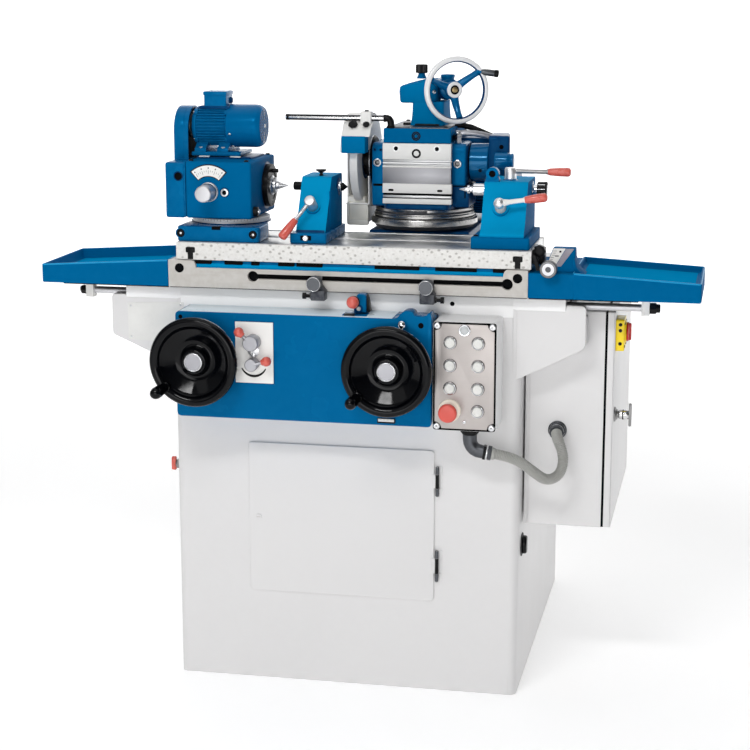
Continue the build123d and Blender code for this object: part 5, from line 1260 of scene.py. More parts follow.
slip(WHITE2, 0.03, 0.58, 0.06, 0.97, -0.6, 1.1)
slip(PURPLE, 0.60, 0.97, 0.06, 0.97, -0.6, 0.6)
for k in range(7):
    slip(INK, 0.10 if k % 3 else 0.06, 0.24, 0.16 + k * 0.11, 0.18 + k * 0.11, 0.9, 1.3)
slip(BLACKM, 0.26, 0.46, 0.55, 0.60, 0.9, 1.6)
pan_screw(P, on_slope(0.42, 0.8, 1.0), (0, -0.772, 0.635), 2.6, 1.2, BLACKM)
P.done("taper_scale_block", slot="grey_paint")
P = Piece("taper_setting_knob", "taper_knob")
TX, TZ = 451.0, 976.0
P.lathe(STEELT, (TX, 26, TZ), (0, -1, 0), [(0, -2), (4.8, -2), (4.8, 51.6), (9.4, 52, 0.5), (9.4, 57.2)], 28, cap=False)
P.gear(GLAND, (TX, -31.0, TZ), (0, -1, 0), 18.6, 17.2, 40, 0.6, 1.2)
P.lathe(KNOBGREY, (TX, -48.0, TZ), (0, -1, 0), [(17.6, -0.4), (17.0, 0.5, 0.3), (14.2, 0.6), (13.6, -0.6)], 40, cap=False)
P.lathe(SATIN, (TX, -48.0, TZ), (0, -1, 0), [(13.8, -1.2), (13.4, 0.2, 0.4), (6.0, 0.3)], 32, cap=False)
P.lathe(GLAND, (TX, -48.0, TZ), (0, -1, 0), [(6.2, -1.2), (6.0, 0.5, 0.4), (3.0, 0.9), (2.2, -0.6), (0, -0.7)], 28, cap=False)
P.done("taper_knob", slot="ground_steel")

# ---------------------------------------------------------------- table dogs
def dog(name, node, x, side, off):
    P = Piece(name, node)
    b = x + off
    P.box(DOGGREY, b - 16, b + 16, -53.6, -25.6, 893.4, 916, 2.4, 2)
    P.prism(DOGGREY, [(b - 14, 914), (b + 14, 914), (x + 11, 930), (x - 9, 930)], "y", -47, -25.8, 1.5, 0.8)
    P.lathe(DOGGREY, (x, -25.6, 930), (0, -1, 0), [(8.8, 0), (8.8, 13)], 28, cap=False)
    P.gear(GEARGREY, (x, -37.8, 930), (0, -1, 0), 16.6, 22, 44, 0.5, 1.6)
    P.lathe(GLAND, (x, -59.8, 930), (0, -1, 0), [(15.2, -0.6), (14.6, 0.05, 0.4), (11, 0.1), (0, 0.0)], 36, cap=False)
    P.torus(SILVER, (x, -59.4, 930), (0, -1, 0), 15.0, 0.7, 40, 8)
    P.lathe(STEELD, (x, -25, 938), (0, 1, 0), [(3.6, 0), (3.6, 9)], 16, cap=False)
    P.box(STEELD, x - 10, x + 10, -16.8, -10.4, 930, 946, 0.6)
    P.lathe(BLACKM, (b + side * 15, -42, 902), (side, 0, 0), [(3.9, 0), (3.9, 13), (6.9, 13.2, 0.5), (6.9, 20.6, 1), (0, 21)], 24, cap=False)
    P.lathe(BLACKM, (b + side * 15.5, -42, 902), (side, 0, 0), [(6.6, 0), (6.6, 4), (0, 4.1)], 6, cap=False)
    P.done(node, slot="black_oxide")
dog("left_trip_dog", "left_dog", -55.0, -1, 8.0)
dog("right_trip_dog", "right_dog", 191.0, 1, 2.0)

# ---------------------------------------------------------------- piston rod and its brackets
P = Piece("table_piston_rod", "table")
RY0, RZ0 = 35.0, 887.0
P.lathe(SATIN, (-621, RY0, RZ0), (1, 0, 0), [(0, 0.4), (6.6, 0.4), (7.9, 1.6), (7.9, 1299.4), (6.8, 1300.6), (0, 1300.6)], 32, cap=False)
P.lathe(IRON, (-12, RY0, RZ0), (1, 0, 0), [(8, 0), (13.8, 0.2), (13.8, 8), (12.6, 8.4), (12.6, 11), (13.8, 11.4), (13.8, 23.8), (8, 24)], 36, cap=False)
for x in (-604, 644):
    P.prism(WHITE2, [(22, 871.4), (48, 871.4), (48, 910), (22, 910)], "x", x + 0.4, x + 17.6, [4, 4, 1, 1], 1.0)
P.lathe(BLACKM, (-604, RY0, RZ0), (-1, 0, 0), [(11, -0.4), (11, 3, 0.5), (10.6, 5), (10.8, 12, 1.5), (7.6, 14.6, 1)], 6, cap=False)
hex_head(P, (662, RY0, RZ0), (1, 0, 0), 12.8, 14)
P.lathe(BLACKM, (676, RY0, RZ0), (1, 0, 0), [(9.2, -2), (9.2, 6.6, 1), (7.8, 7.6)], 24, cap=False)
P.done("piston_rod", slot="ground_steel")


# ---------------------------------------------------------------- apron
P = Piece("apron_cover", "base")
ear = [(-358, 632.6), (210, 632.6), (210, 872), (207, 882), (203, 881), (198, 875), (188, 873), (174, 874), (169, 882.5), (161, 885), (150, 883.5), (143, 878), (136, 869), (128, 866.6), (-358, 867)]
P.prism(BLUE, ear, "y", -90, -50, [10, 7, 1, 2, 2, 4, 4, 3, 3, 4, 4, 5, 5, 6, 10], 2.2, 3, n=4)
P.prism(BLUE, [(-358, 632.6), (210, 632.6), (210, 867), (-358, 867)], "y", -52, 0.2, [10, 7, 7, 10], 1.5, 2)
# pale top face of the apron: painted reflection of the white lip above it
P.box(PALE_REFLECTION, -349, 124, -86.5, -0.6, 866.2, 867.5, 0.4)
P.box(BLUE, 12, 66, -76, -40, 864, 869.4, 1.2)
P.box(BLACKM, 16, 40, -78, -56, 864, 869.9, 0.8)
# screw holes, ball clamp and the vernier plate
for x, z, r in ((-346, 855, 4.6), (187.3, 854, 6.0)):
    P.lathe(GAP_SHADE, (x, -90.2, z), (0, -1, 0), [(r, -3), (r, 0.1), (0, 0.15)], 28, cap=False)
P.lathe(CHROME, (147.5, -89, 856), (0, -1, 0), [(6.5, -1), (6.5, 2.2, 0.6), (4.5, 3)], 28, cap=False)
P.ball(CHROME, (147.5, -98, 855.6), 9.6, 32)
P.box(BLACKM, 93.5, 132.5, -95, -89, 638, 648.4, 0.8)
P.box(WHITE2, 95.4, 130.6, -96.0, -90, 642, 648.0, 0.4)
for i in range(11):
    P.box(INK, 97.6 + i * 3.05, 98.1 + i * 3.05, -96.12, -95.8, 644.4 if i % 5 else 643.2, 648.05, 0, 1)
# sleeves behind both handwheels
for cx, cz in ((-305, 763.5), (121, 759.7)):
    P.lathe(BLUE_SHADED, (cx, -89, cz), (0, -1, 0), [(40, -1), (40, 1.6, 0.8), (32, 3.0, 0.6), (27, 3.4)], 56, cap=False)
# pivot bracket of the reversing lever
P.box(BLUE_SHADED, 28.2, 61.8, -30, -20.2, 866, 891.8, 2.0)
P.lathe(STEELD, (45, -24, 880), (0, -1, 0), [(4.9, 0), (4.9, 33.4), (4.2, 34), (0, 34)], 24, cap=False)
# lever plate: bare, with one swept arc
P.box(WHITE2, -222, -137, -93, -89.5, 714, 849, 0.9, 2)
P.box(BLUE_SHADED, -223.2, -135.8, -90.8, -89.6, 712.6, 850.2, 0.3)
aa = [i * 5 for i in range(-32, -3)]
o = [(-181 + 29.5 * cos(radians(a)), 758 - 1.5 + 29.5 * sin(radians(a))) for a in aa]
i_ = [(-181 + (27.4 - 3.4 * max(0, sin(pi * (a + 162) / 144))) * cos(radians(a)), 756.5 + (27.4 - 3.4 * max(0, sin(pi * (a + 162) / 144))) * sin(radians(a))) for a in aa]
P.prism(BLACKM, o + i_[::-1], "y", -93.25, -92.6, 0, 0)
# stem between the two lever hubs
P.lathe(SILVER, (-180.7, -93, 785), (0, -1, 0), [(13, -0.3), (13, 1.4, 0.6), (9, 2.4), (0, 2.5)], 36, cap=False)
P.box(SILVER, -183.6, -177.6, -97, -92.6, 768, 782, 0.8)
P.done("apron_housing", slot="blue_paint")


def ball_lever(name, node, c, ang, L, r, h, e=2.5):
    P = Piece(name, node)
    cx, cz = c
    d = Vector((cos(radians(ang)), 0, sin(radians(ang))))
    P.lathe(STEELD, (cx, -64, cz), (0, -1, 0), [(0, 0), (5.8, 0), (5.8, 30)], 24, cap=False)
    P.lathe(LEVGREY, (cx, -93.4, cz), (0, -1, 0), [(r - 1.0, 0.1), (r, 0.8, 0.4), (r, h - 5.0), (r - 0.8, h - 3.4, 0.8), (r - 1.6, h - 3.0), (r - 2.0, h - 3.4)], 48, cap=False)
    P.lathe(LEVGREY, (cx, -93.4, cz), (0, -1, 0), [(r - 1.9, h - 5), (r - 1.9, h - 3.3), (0, h - 3.2)], 48, cap=False)
    s = Vector((cx, -88 - h, cz)) + Vector((0, -e + 4.5, 0))
    P.lathe(LEVGREY, s + d * (r - 5), d, [(5.2, 0), (4.0, 8), (3.6, L - r + 2)], 24, cap=False)
    P.ball(RED, s + d * L + Vector((0, -0.5, 0)), 10.8, 32)
    P.lathe(RED, s + d * (L - 12), d, [(4.4, 0), (6.6, 0.6, 0.5), (7.4, 5)], 24, cap=False)
    P.done(node, slot="red_grip")
ball_lever("speed_ball_lever", "speed_lever", (-180.5, 806.5), 136, 35, 17, 34)
ball_lever("start_ball_lever", "start_lever", (-181.0, 758.0), 16, 36, 14, 30)

P = Piece("reversing_ball_lever", "reversing_lever")
P.prism(BLUE, [(40, 872), (61, 872), (61, 912), (40, 912)], "y", -57, -31.2, [2, 2, 9, 7], 2.0, 3)
P.prism(BLACKM, [(58, 872.4), (69, 872.4), (66, 896), (61.4, 908), (58, 908)], "y", -50, -31.4, [0, 3, 5, 3, 0], 0.8)
P.lathe(BLUE_SHADED, (45, -31.2, 880), (0, -1, 0), [(5.2, 0), (10.6, 0.2, 0.5), (10.6, 25.6, 0.8), (8, 26.2), (5.2, 26.2)], 36, cap=False)
P.lathe(STEELD, (43, -56, 899), (0, -1, 0), [(4.8, 0), (4.8, 16)], 24, cap=False)
P.lathe(BLACK, (40, -71, 899), (0, -1, 0), [(5, 0), (9, 2, 1), (13.4, 11, 1.5), (13.8, 17, 0.8), (12.0, 17.6)], 40, cap=False)
P.ball(RED, (39, -90.2, 899), 13.4, 36)
P.done("reversing_lever", slot="black_oxide")


# ---------------------------------------------------------------- dished handwheels
def handwheel(name, node, cx, cz, shaft):
    P = Piece(name, node)
    c = (cx, 0, cz)
    # rim and dish in one turned profile (radius, distance towards the operator)
    P.lathe(BLACK, c, (0, -1, 0), [(27, 105), (40, 108), (62, 117), (78, 127, 3), (86, 124.6, 2), (94.4, 125.6, 3), (98.6, 131, 5), (98.6, 139, 6), (94, 146, 5), (85, 146, 4),
                                   (79.5, 142.5, 2), (77.4, 137.4, 2), (73, 132.2, 3), (45, 116.0, 3), (36, 114.6, 3), (31, 118, 3), (28.4, 130, 2), (26.4, 134, 1.5), (23, 134.4)], 128, cap=False)
    P.lathe(BLACK, c, (0, -1, 0), [(24, 93.6), (26, 94.6, 0.8), (26, 101, 1), (29, 105, 2), (36, 108)], 64, cap=False)
    # chrome seam behind the rim
    P.torus(CHROME, (cx, -125.4, cz), (0, -1, 0), 95.6, 1.5, 128, 10)
    # hub cap
    P.lathe(SILVER, c, (0, -1, 0), [(23.5, 132), (21.2, 135.6, 1), (20.4, 138.2, 1.2), (18.2, 138.8, 0.4), (17.4, 137.8)], 56, cap=False)
    P.lathe(LEVGREY, c, (0, -1, 0), [(17.6, 136.6), (17.4, 138.0), (0, 138.2)], 56, cap=False)
    # revolving handle
    hx, hz = cx + 82 * cos(radians(222)), cz + 82 * sin(radians(222))
    h = (hx, 0, hz)
    P.lathe(BLACK, h, (0, -1, 0), [(10.6, 138), (10.6, 148.2, 0.8), (8.2, 149.4), (7.6, 152)], 36, cap=False)
    P.lathe(BLACK, h, (0, -1, 0), [(7.4, 151.4), (9.6, 151.6, 1), (10.6, 156), (12.0, 178, 4), (13.2, 200, 6), (13.2, 212, 5), (10.4, 221, 4), (4.8, 224.6, 2), (0, 225)], 40, cap=False)
    P.lathe(STEELT, c, (0, 1, 0), [(9.8, -96), (9.8, shaft - 1), (8.8, shaft - 0.2), (0, shaft - 0.2)], 32, cap=False)
    return P
P = handwheel("table_traverse_wheel", "table_handwheel", -305.0, 763.5, 46)
P.gear(IRON, (-305, 18.4, 763.5), (0, 1, 0), 21.8, 23.2, 22, 3.0, 0.6)
P.done("table_handwheel", slot="black_bakelite")
P = handwheel("cross_feed_wheel", "feed_handwheel", 121.0, 759.7, 790)
P.done("feed_handwheel", slot="black_bakelite")


# ---------------------------------------------------------------- push-button box
P = Piece("button_box_shell", "base")
bo = round_poly([(215, 630), (351, 630), (351, 866), (215, 866)], 7, 6)
# box walls in a lighter white: painted light
band(P, WHITE_LIT, bo, inset(bo, 4), "y", -96.4, 0.2)
P.prism(WHITE, inset(bo, 1), "y", -4.4, 0.2, 0, 0.4)
band(P, GAP_SHADE, inset(bo, 0.6), inset(bo, 4.4), "y", -97.6, -95.8)
# corner pillars for the panel screws
for x in (224, 342):
    for z in (639, 857):
        P.lathe(WHITE, (x, -20, z), (0, -1, 0), [(8, 0), (8, 75.4), (4, 75.8)], 24, cap=False)
P.done("control_box", slot="white_paint")

P = Piece("button_panel", "base")
def notched(x0, x1, z0, z1, r, n=6):
    """plate outline with a quarter circle taken out of each corner"""
    q = []
    for cx, cz, a0 in ((x0, z0, 90), (x1, z0, 180), (x1, z1, 270), (x0, z1, 0)):
        q += [(cx + r * cos(radians(a0 - 90 * k / n)), cz + r * sin(radians(a0 - 90 * k / n))) for k in range(n + 1)]
    return q
P.prism(PANELG, notched(219.4, 346.6, 634.4, 861.6, 14.5), "y", -98.2, -96.6, 0, 0.3, 2)
P.prism(BLACKM, notched(216.8, 349.2, 631.8, 864.2, 11.5), "y", -97.6, -96.2, 0, 0.2, 1)
P.box(SILVER, 217.4, 348.6, -97.0, -96.0, 632.4, 863.6, 0.3)
P.done("control_panel", slot="panel_grey")

BT = [(252, 821.5), (312, 821.5), (252, 772), (312, 772), (252, 722.5), (312, 722.5), (312, 674)]
P = Piece("button_bezels", "base")
for x, z in BT:
    P.ring(CHROME, (x, -98, z), (0, -1, 0), [(13.8, -0.4), (13.8, 3.4), (13.0, 5.6), (12.1, 5.9), (11.5, 5.0), (11.5, -0.4)], 48)
    P.ring(BLACKM, (x, -98, z), (0, -1, 0), [(14.6, -0.2), (14.6, 0.6), (13.6, 0.6), (13.6, -0.2)], 40)
# lamp
P.ring(CHROME, (282.5, -98, 849), (0, -1, 0), [(12.8, -0.4), (12.8, 3.0), (11.4, 4.6), (9.8, 4.4), (9.4, -0.4)], 44)
P.lathe(LAMP, (282.5, -98, 849), (0, -1, 0), [(9.8, 1), (9.6, 4.2, 1), (6, 6.2), (0, 7.0)], 40, cap=False)
# collar of the stop button, corner screws and one small plate screw
P.lathe(COLLAR, (252, -98, 674), (0, -1, 0), [(24.4, -0.2), (24.4, 3.6, 0.8), (22.8, 5.2, 0.6), (12, 5.4), (8.4, 5.4), (8.4, -0.2)], 64, cap=False)
for x, z in ((224, 639), (342, 639), (224, 857), (342, 857)):
    P.lathe(SILVER, (x, -96.4, z), (0, -1, 0), [(7.4, 0), (7.4, 2.2, 0.6), (5.4, 4.4), (2.4, 4.6), (2.0, 3.4), (0, 3.4)], 28, cap=False)
    P.box(GAP_SHADE, x - 2.6, x + 2.6, -100.7, -99.6, z - 0.5, z + 0.5, 0, 1)
pan_screw(P, (283.7, -98.2, 650), (0, -1, 0), 4.0, 2.0, CHROME)
P.done("panel_fittings", slot="panel_grey")

for i, (x, z) in enumerate(BT, 1):
    P = Piece("push_button_cap_%d" % i, "push_button_%d" % i)
    P.lathe(BUTTON, (x, -92, z), (0, -1, 0), [(0, 0), (10.9, 0), (10.9, 12.2, 0.8), (9.6, 14.2, 0.8), (7.2, 14.6, 0.5), (6.4, 13.9, 0.5), (0, 13.6)], 48, cap=False)
    P.torus(SILVER, (x, -104.2, z), (0, -1, 0), 10.3, 0.7, 48, 8)
    P.done("push_button_%d" % i, slot="button_white")
P = Piece("stop_mushroom", "stop_button")
P.lathe(BLACKM, (252, -88, 674), (0, -1, 0), [(0, 0), (7.9, 0), (7.9, 33)], 32, cap=False)
P.lathe(REDS, (252, -98, 674), (0, -1, 0), [(9, 21.2), (16, 21.4, 1), (19.8, 23.6, 1.5), (20.4, 27, 1), (20, 32.4, 2.0), (17.4, 35.6, 2.0), (8, 36.3), (0, 36.4)], 64, cap=False)
P.done("stop_button", slot="red_grip")

# ---------------------------------------------------------------- elbow under the box, gland on the cabinet, ribbed conduit between them
ROUTE = [(342, -50, 571), (386, -46, 564), (424, -34, 533), (453, -20, 508), (480, -6, 518), (488, 2, 547), (483, 4, 576), (471, 16, 597), (467, 40, 603)]
cu = bpy.data.curves.new("conduit_path", "CURVE")
cu.dimensions = "3D"
cu.resolution_u = 14
sp = cu.splines.new("NURBS")
sp.points.add(len(ROUTE) - 1)
for q, p in zip(sp.points, ROUTE):
    q.co = tuple(W(p)) + (1.0,)
sp.order_u = 3
sp.use_endpoint_u = True
co = bpy.data.objects.new("conduit_path", cu)
SCENE.collection.objects.link(co)
bpy.context.view_layer.update()
pm = bpy.data.meshes.new_from_object(co)
LINE = [v.co.copy() for v in pm.vertices]
bpy.data.meshes.remove(pm)
bpy.data.objects.remove(co)
bpy.data.curves.remove(cu)
if (LINE[0] - W(ROUTE[0])).length > (LINE[-1] - W(ROUTE[0])).length:
    LINE.reverse()


def along(line, n):
    """n points at equal steps along a line of points"""
    cum = [0.0]
    for a, b in zip(line, line[1:]):
        cum.append(cum[-1] + (b - a).length)
    out, k = [], 0
    for i in range(n):
        s = cum[-1] * i / (n - 1)
        while k < len(cum) - 2 and cum[k + 1] < s:
            k += 1
        t = (s - cum[k]) / max(1e-12, cum[k + 1] - cum[k])
        out.append(line[k].lerp(line[k + 1], t))
    return out


def mm(p):
    return Vector((p.x * 1000, p.y * 1000 + Y0, p.z * 1000))


P = Piece("conduit_hose", "base")
NR = 78                                   # spiral ribs
pts = along([mm(p) for p in LINE], NR * 6 + 1)
rad = [11.1 + 0.85 * cos(2 * pi * i / 6) for i in range(NR * 6 + 1)]
P.tube(CONDUIT, pts, rad, 28)
o = P.done("conduit", slot="conduit_grey", sharp=60)
[tuple(p) for p in along(LINE, 60)]

v0, v1 = Vector(ROUTE[0]), Vector(ROUTE[1])
din = (v1 - v0).normalized()
ve, vf = Vector(ROUTE[-1]), Vector(ROUTE[-2])
dout = (ve - vf).normalized()
P = Piece("conduit_glands", "base")
P.gear(BLACKM, (289, -50, 630), (0, 0, -1), 20.6, 13.6, 18, 1.4, 1.6)
P.lathe(BLACKM, (289, -50, 617), (0, 0, -1), [(18, -1), (17.4, 3, 0.8), (15.6, 5)], 36, cap=False)
P.lathe(GLAND, (289, -50, 613), (0, 0, -1), [(15.6, -2), (15.4, 2, 0.8), (15.4, 6)], 36, cap=False)
P.tube(GLAND, [(289, -50, 612), (289, -50, 602), (290, -50, 594), (293.4, -50, 586.4), (299, -50, 580.4), (306.6, -50, 576.4), tuple(v0 - din * 26), tuple(v0 - din * 21)], [15.6, 15.4, 15.2, 15.2, 15.2, 15.0, 14.6, 14.4], 32)
P.lathe(BLACKM, v0 - din * 24, din, [(14.2, 0), (17.0, 0.4, 0.6), (17.0, 6.4, 0.8), (14.0, 7)], 6, cap=False)
P.lathe(SILVER, v0 - din * 17.4, din, [(13.6, -1), (15.2, 0.2, 0.5), (15.2, 3.2, 0.5), (13.6, 4)], 36, cap=False)
P.lathe(GLAND, v0 - din * 13.6, din, [(13.6, -0.4), (16.4, 0.2, 0.6), (16.4, 7.6, 0.8), (13.4, 8.4)], 8, cap=False)
P.lathe(CONDUIT, v0 - din * 5.4, din, [(13.2, -0.4), (13.6, 0.6, 0.5), (13.2, 6.6, 1.0), (11.6, 7.4)], 36, cap=False)
P.lathe(GLAND, (467, 62, 604), (0, -1, 0), [(20.6, -0.4), (20.6, 3, 0.8), (18, 4)], 40, cap=False)
P.lathe(GLAND, (467, 58.6, 604), (0, -1, 0), [(19.4, 0), (19.4, 9, 1.2), (16, 10.6)], 6, cap=False)
P.lathe(SILVER, (467, 49, 604), (0, -1, 0), [(15.6, -2), (15.6, 3, 0.8), (14, 4)], 36, cap=False)
P.gear(GLAND, ve - dout * 3.0, dout, 16.2, 11, 10, 1.2, 1.2)
P.done("conduit_fittings", slot="conduit_grey")

# ---------------------------------------------------------------- cabinet
P = Piece("cabinet_shell", "base")
co_ = round_poly([(62, 385), (600, 385), (600, 872), (62, 872)], 4, 4)
band(P, WHITE, co_, inset(co_, 3), "x", 405, 566.6)
P.prism(WHITE, inset(co_, 0.5), "x", 405, 408.2, 0, 0.6)
# dark band in the seam between box and door: painted shade
band(P, GAP_SHADE, inset(co_, 1.2), inset(co_, 9), "x", 565.6, 571.8)
for z in (420, 700):
    for y in (110, 520):
        P.box(WHITE, 391, 406, y - 20, y + 20, z - 15, z + 15, 1.5)
P.box(WHITE, 395.0, 405.6, 64, 90, 386, 871, 0.8)
for z0 in (440, 760):
    for a in (1, 41):
        P.box(STEELD, 553, 578, 599.6, 603, z0 + a, z0 + a + 18, 0.6)
        P.lathe(STEELD, (580, 604, z0 + a), (0, 0, 1), [(3, 0), (4.9, 0.2, 0.4), (4.9, 17.8, 0.4), (3, 18)], 24, cap=False)
    P.lathe(STEELT, (580, 604, z0), (0, 0, 1), [(0, 0.1), (2.9, 0.2), (2.9, 59.8), (0, 59.9)], 20, cap=False)
P.done("cabinet_box", slot="white_paint")

P = Piece("cabinet_door_panel", "cabinet_door")
do = round_poly([(62, 386), (596, 386), (596, 871), (62, 871)], 4, 4)
band(P, WHITE, do, inset(do, 3), "x", 572, 586)
P.prism(WHITE, do, "x", 584, 588, 0, 1.6, 3)
band(P, RUBBER, inset(do, 4), inset(do, 14), "x", 575, 578)
for z0 in (440, 760):
    P.box(STEELD, 578.4, 582.6, 592, 604, z0 + 20.4, z0 + 39.6, 0.5)
    P.lathe(STEELD, (580, 604, z0 + 20.4), (0, 0, 1), [(3.1, 0), (4.9, 0.2, 0.4), (4.9, 19, 0.4), (3.1, 19.2)], 24, cap=False)
# main switch: yellow housing
P.prism(YELLOW, [(72, 783), (136, 783), (136, 853), (72, 853)], "x", 587.6, 606.5, [6, 6, 6, 6], 1.6, 3)
P.lathe(YELLOW, (606, 104, 822), (1, 0, 0), [(25, 0), (25, 2.2, 0.8), (20.2, 4.0)], 48, cap=False)
for z in (800, 829, 842):
    P.lathe(BLACKM, (598, 72.2, z), (0, -1, 0), [(4.0, -0.8), (4.0, 0.35), (0, 0.4)], 20, cap=False)
for y in (82, 126):
    for z in (793, 843):
        pan_screw(P, (606.4, y, z), (1, 0, 0), 3.4, 1.6, BLACKM)
# lock rose
P.lathe(STEELD, (588, 97, 637), (1, 0, 0), [(16.4, -0.4), (16.4, 2.6, 0.8), (12.5, 4.4, 0.8), (11.2, 7.2, 0.8), (7.4, 7.4)], 40, cap=False)
P.done("cabinet_door", slot="white_paint")

P = Piece("cabinet_lock_handle", "door_lock")
P.lathe(STEELT, (576, 97, 637), (1, 0, 0), [(0, 2), (6.9, 2), (6.9, 20), (8.4, 21, 0.8), (10.4, 24, 1.5), (10.8, 40, 1.5), (9.0, 44)], 36, cap=False)
P.ring(BLACKM, (576, 97, 637), (1, 0, 0), [(10.9, 30), (11.2, 30.6), (11.2, 32.0), (10.9, 32.6)], 36)
P.prism(STEELD, [(91, 611), (103, 611), (105, 637), (103, 663), (91, 663), (89, 637)], "x", 619.6, 625.8, [5, 5, 2, 5, 5, 2], 2.0, 3)
P.box(STEELD, 576.2, 578.8, 67.5, 104, 630.5, 643.5, 0.5)
P.done("door_lock", slot="bright_chrome")

P = Piece("main_switch_handle", "main_switch_knob")
P.lathe(SWRED, (610.6, 104, 822), (1, 0, 0), [(6, -18), (6, -0.2), (20.8, 0), (21.4, 1.0, 0.4), (20.9, 3.4, 1.6), (16, 5.0), (0, 5.4)], 56, cap=False)
P.prism(SWRED, [(98.4, 803), (109.6, 803), (109.6, 841), (98.4, 841)], "x", 614, 620, [5, 5, 5, 5], 2.0, 3)
P.box(WHITE2, 619.4, 620.05, 102.8, 105.2, 828, 839, 0.2)
P.done("main_switch_knob", slot="switch_red")

P = Piece("cabinet_switchgear", "base")
P.box(SILVER, 408.2, 411.8, 90, 570, 410, 850, 0.5)
for z, n in ((780, 6), (660, 6), (540, 4)):
    P.box(STEELD, 412, 419, 96, 566, z - 17, z + 17, 0.5)
    for i in range(n):
        y0 = 110 + i * 70
        P.box(GEARGREY if (i + z // 10) % 3 else BUTTON, 412.2, 470, y0, y0 + 50, z - 35, z + 35, 1.5)
        P.box(GEARGREY, 469, 480, y0 + 8, y0 + 42, z - 20, z + 20, 1.5)
        for k in range(3):
            P.lathe(SILVER, (470, y0 + 11 + k * 14, z + 28), (1, 0, 0), [(4, -1), (4, 0.8), (0, 1)], 12, cap=False)
            P.lathe(SILVER, (470, y0 + 11 + k * 14, z - 28), (1, 0, 0), [(4, -1), (4, 0.8), (0, 1)], 12, cap=False)
P.box(CONDUIT, 412, 450, 100, 560, 440, 470, 1.0)
for i in range(30):
    P.box(BLACKM, 449.6, 450.4, 106 + i * 15, 112 + i * 15, 444, 466, 0.2, 1)
P.done("cabinet_equipment", slot="equipment_grey")


# ---------------------------------------------------------------- pedestal with the bed and its overhangs
P = Piece("pedestal_casting", "base")
# pedestal walls: front with the door opening, sides, back, floor and bed plate
def wall_with_hole(m, outer, hole, axis, a, b, r=0.0):
    """plate from a to b with a rounded opening in it"""
    n = len(hole)
    ou = []
    # outer points taken where rays through the hole's points meet the outer rectangle
    (x0, z0), (x1, z1) = outer
    cx, cz = sum(p[0] for p in hole) / n, sum(p[1] for p in hole) / n
    for p in hole:
        dx, dz = p[0] - cx, p[1] - cz
        t = min((x1 - cx) / dx if dx > 1e-9 else 1e9, (x0 - cx) / dx if dx < -1e-9 else 1e9,
                (z1 - cz) / dz if dz > 1e-9 else 1e9, (z0 - cz) / dz if dz < -1e-9 else 1e9)
        ou.append((cx + dx * t, cz + dz * t))
    band(P, m, ou, hole, axis, a, b)


def corners_too(hole, x0, x1, z0, z1):
    """hole outline with extra points so that its rays reach the plate's corners"""
    cx, cz = sum(p[0] for p in hole) / len(hole), sum(p[1] for p in hole) / len(hole)
    out = list(hole)
    for X, Z in ((x0, z0), (x1, z0), (x1, z1), (x0, z1)):
        a = atan2(Z - cz, X - cx)
        best = None
        for i in range(len(hole)):
            p, q = Vector(hole[i]), Vector(hole[(i + 1) % len(hole)])
            d = Vector((cos(a), sin(a)))
            e = q - p
            den = d.x * (-e.y) + e.x * d.y
            if abs(den) < 1e-12:
                continue
            w = p - Vector((cx, cz))
            s = (w.x * (-e.y) + e.x * w.y) / den
            u = (d.x * w.y - d.y * w.x) / den
            if s > 0 and -1e-9 <= u <= 1 + 1e-9:
                best = (cx + d.x * s, cz + d.y * s)
        if best:
            out.append(best)
    out.sort(key=lambda p: atan2(p[1] - cz, p[0] - cx))
    keep = []
    for p in out:
        if not keep or hypot(p[0] - keep[-1][0], p[1] - keep[-1][1]) > 1e-4:
            keep.append(p)
    return keep


hw = 391.0
hole = round_poly([(-204, 228), (192, 228), (192, 543), (-204, 543)], 12, 5)
hole = corners_too(hole, -hw + 18, hw - 18, 0, 862)
wall_with_hole(WHITE, ((-hw + 18, 0), (hw - 18, 862)), hole, "y", 0, 14)
# rounded vertical corners and the three other walls
def wall_strip(pts, z0, z1, m):
    t = bmesh.new()
    A = [t.verts.new((x, y, z0)) for x, y in pts]
    B = [t.verts.new((x, y, z1)) for x, y in pts]
    for i in range(len(pts) - 1):
        t.faces.new((A[i], A[i + 1], B[i + 1], B[i]))
    bmesh.ops.recalc_face_normals(t, faces=t.faces[:])
    P.put(t, m)
for s in (-1, 1):
    c = [(s * (hw - 18), 0.0)] + [(s * (hw - 18 + 18 * sin(radians(k * 9))), 18 - 18 * cos(radians(k * 9))) for k in range(1, 11)]
    wall_strip(c, 0, 885, WHITE)
    wall_strip([(s * (hw - 18), 14), (s * (hw - 14), 18), (s * (hw - 14), 40)], 0, 872, WHITE)
    e = [(s * hw, 18), (s * hw, 840)] + [(s * (hw - 6 + 6 * cos(radians(k * 15))), 840 + 6 * sin(radians(k * 15))) for k in range(1, 7)]
    wall_strip(e, 0, 885, WHITE)
    P.box(WHITE, s * (hw - 14) - 0.2, s * (hw - 13) + 0.2, 14, 832, 14, 872, 0)
wall_strip([(-hw + 6, 846), (-hw + 30, 844.6), (hw - 30, 844.6), (hw - 6, 846)], 0, 885, WHITE)
wall_strip([(-hw + 14, 832), (hw - 14, 832)], 14, 872, WHITE)
P.box(WHITE, -hw + 15, hw - 15, 16, 845, 1, 14, 0.0)
P.box(WHITE, -hw + 4, hw - 4, 57, 845.6, 871, 885, 0.8)
P.box(WHITE, -hw + 17, hw - 17, 12, 57.4, 852, 864.2, 0.0)
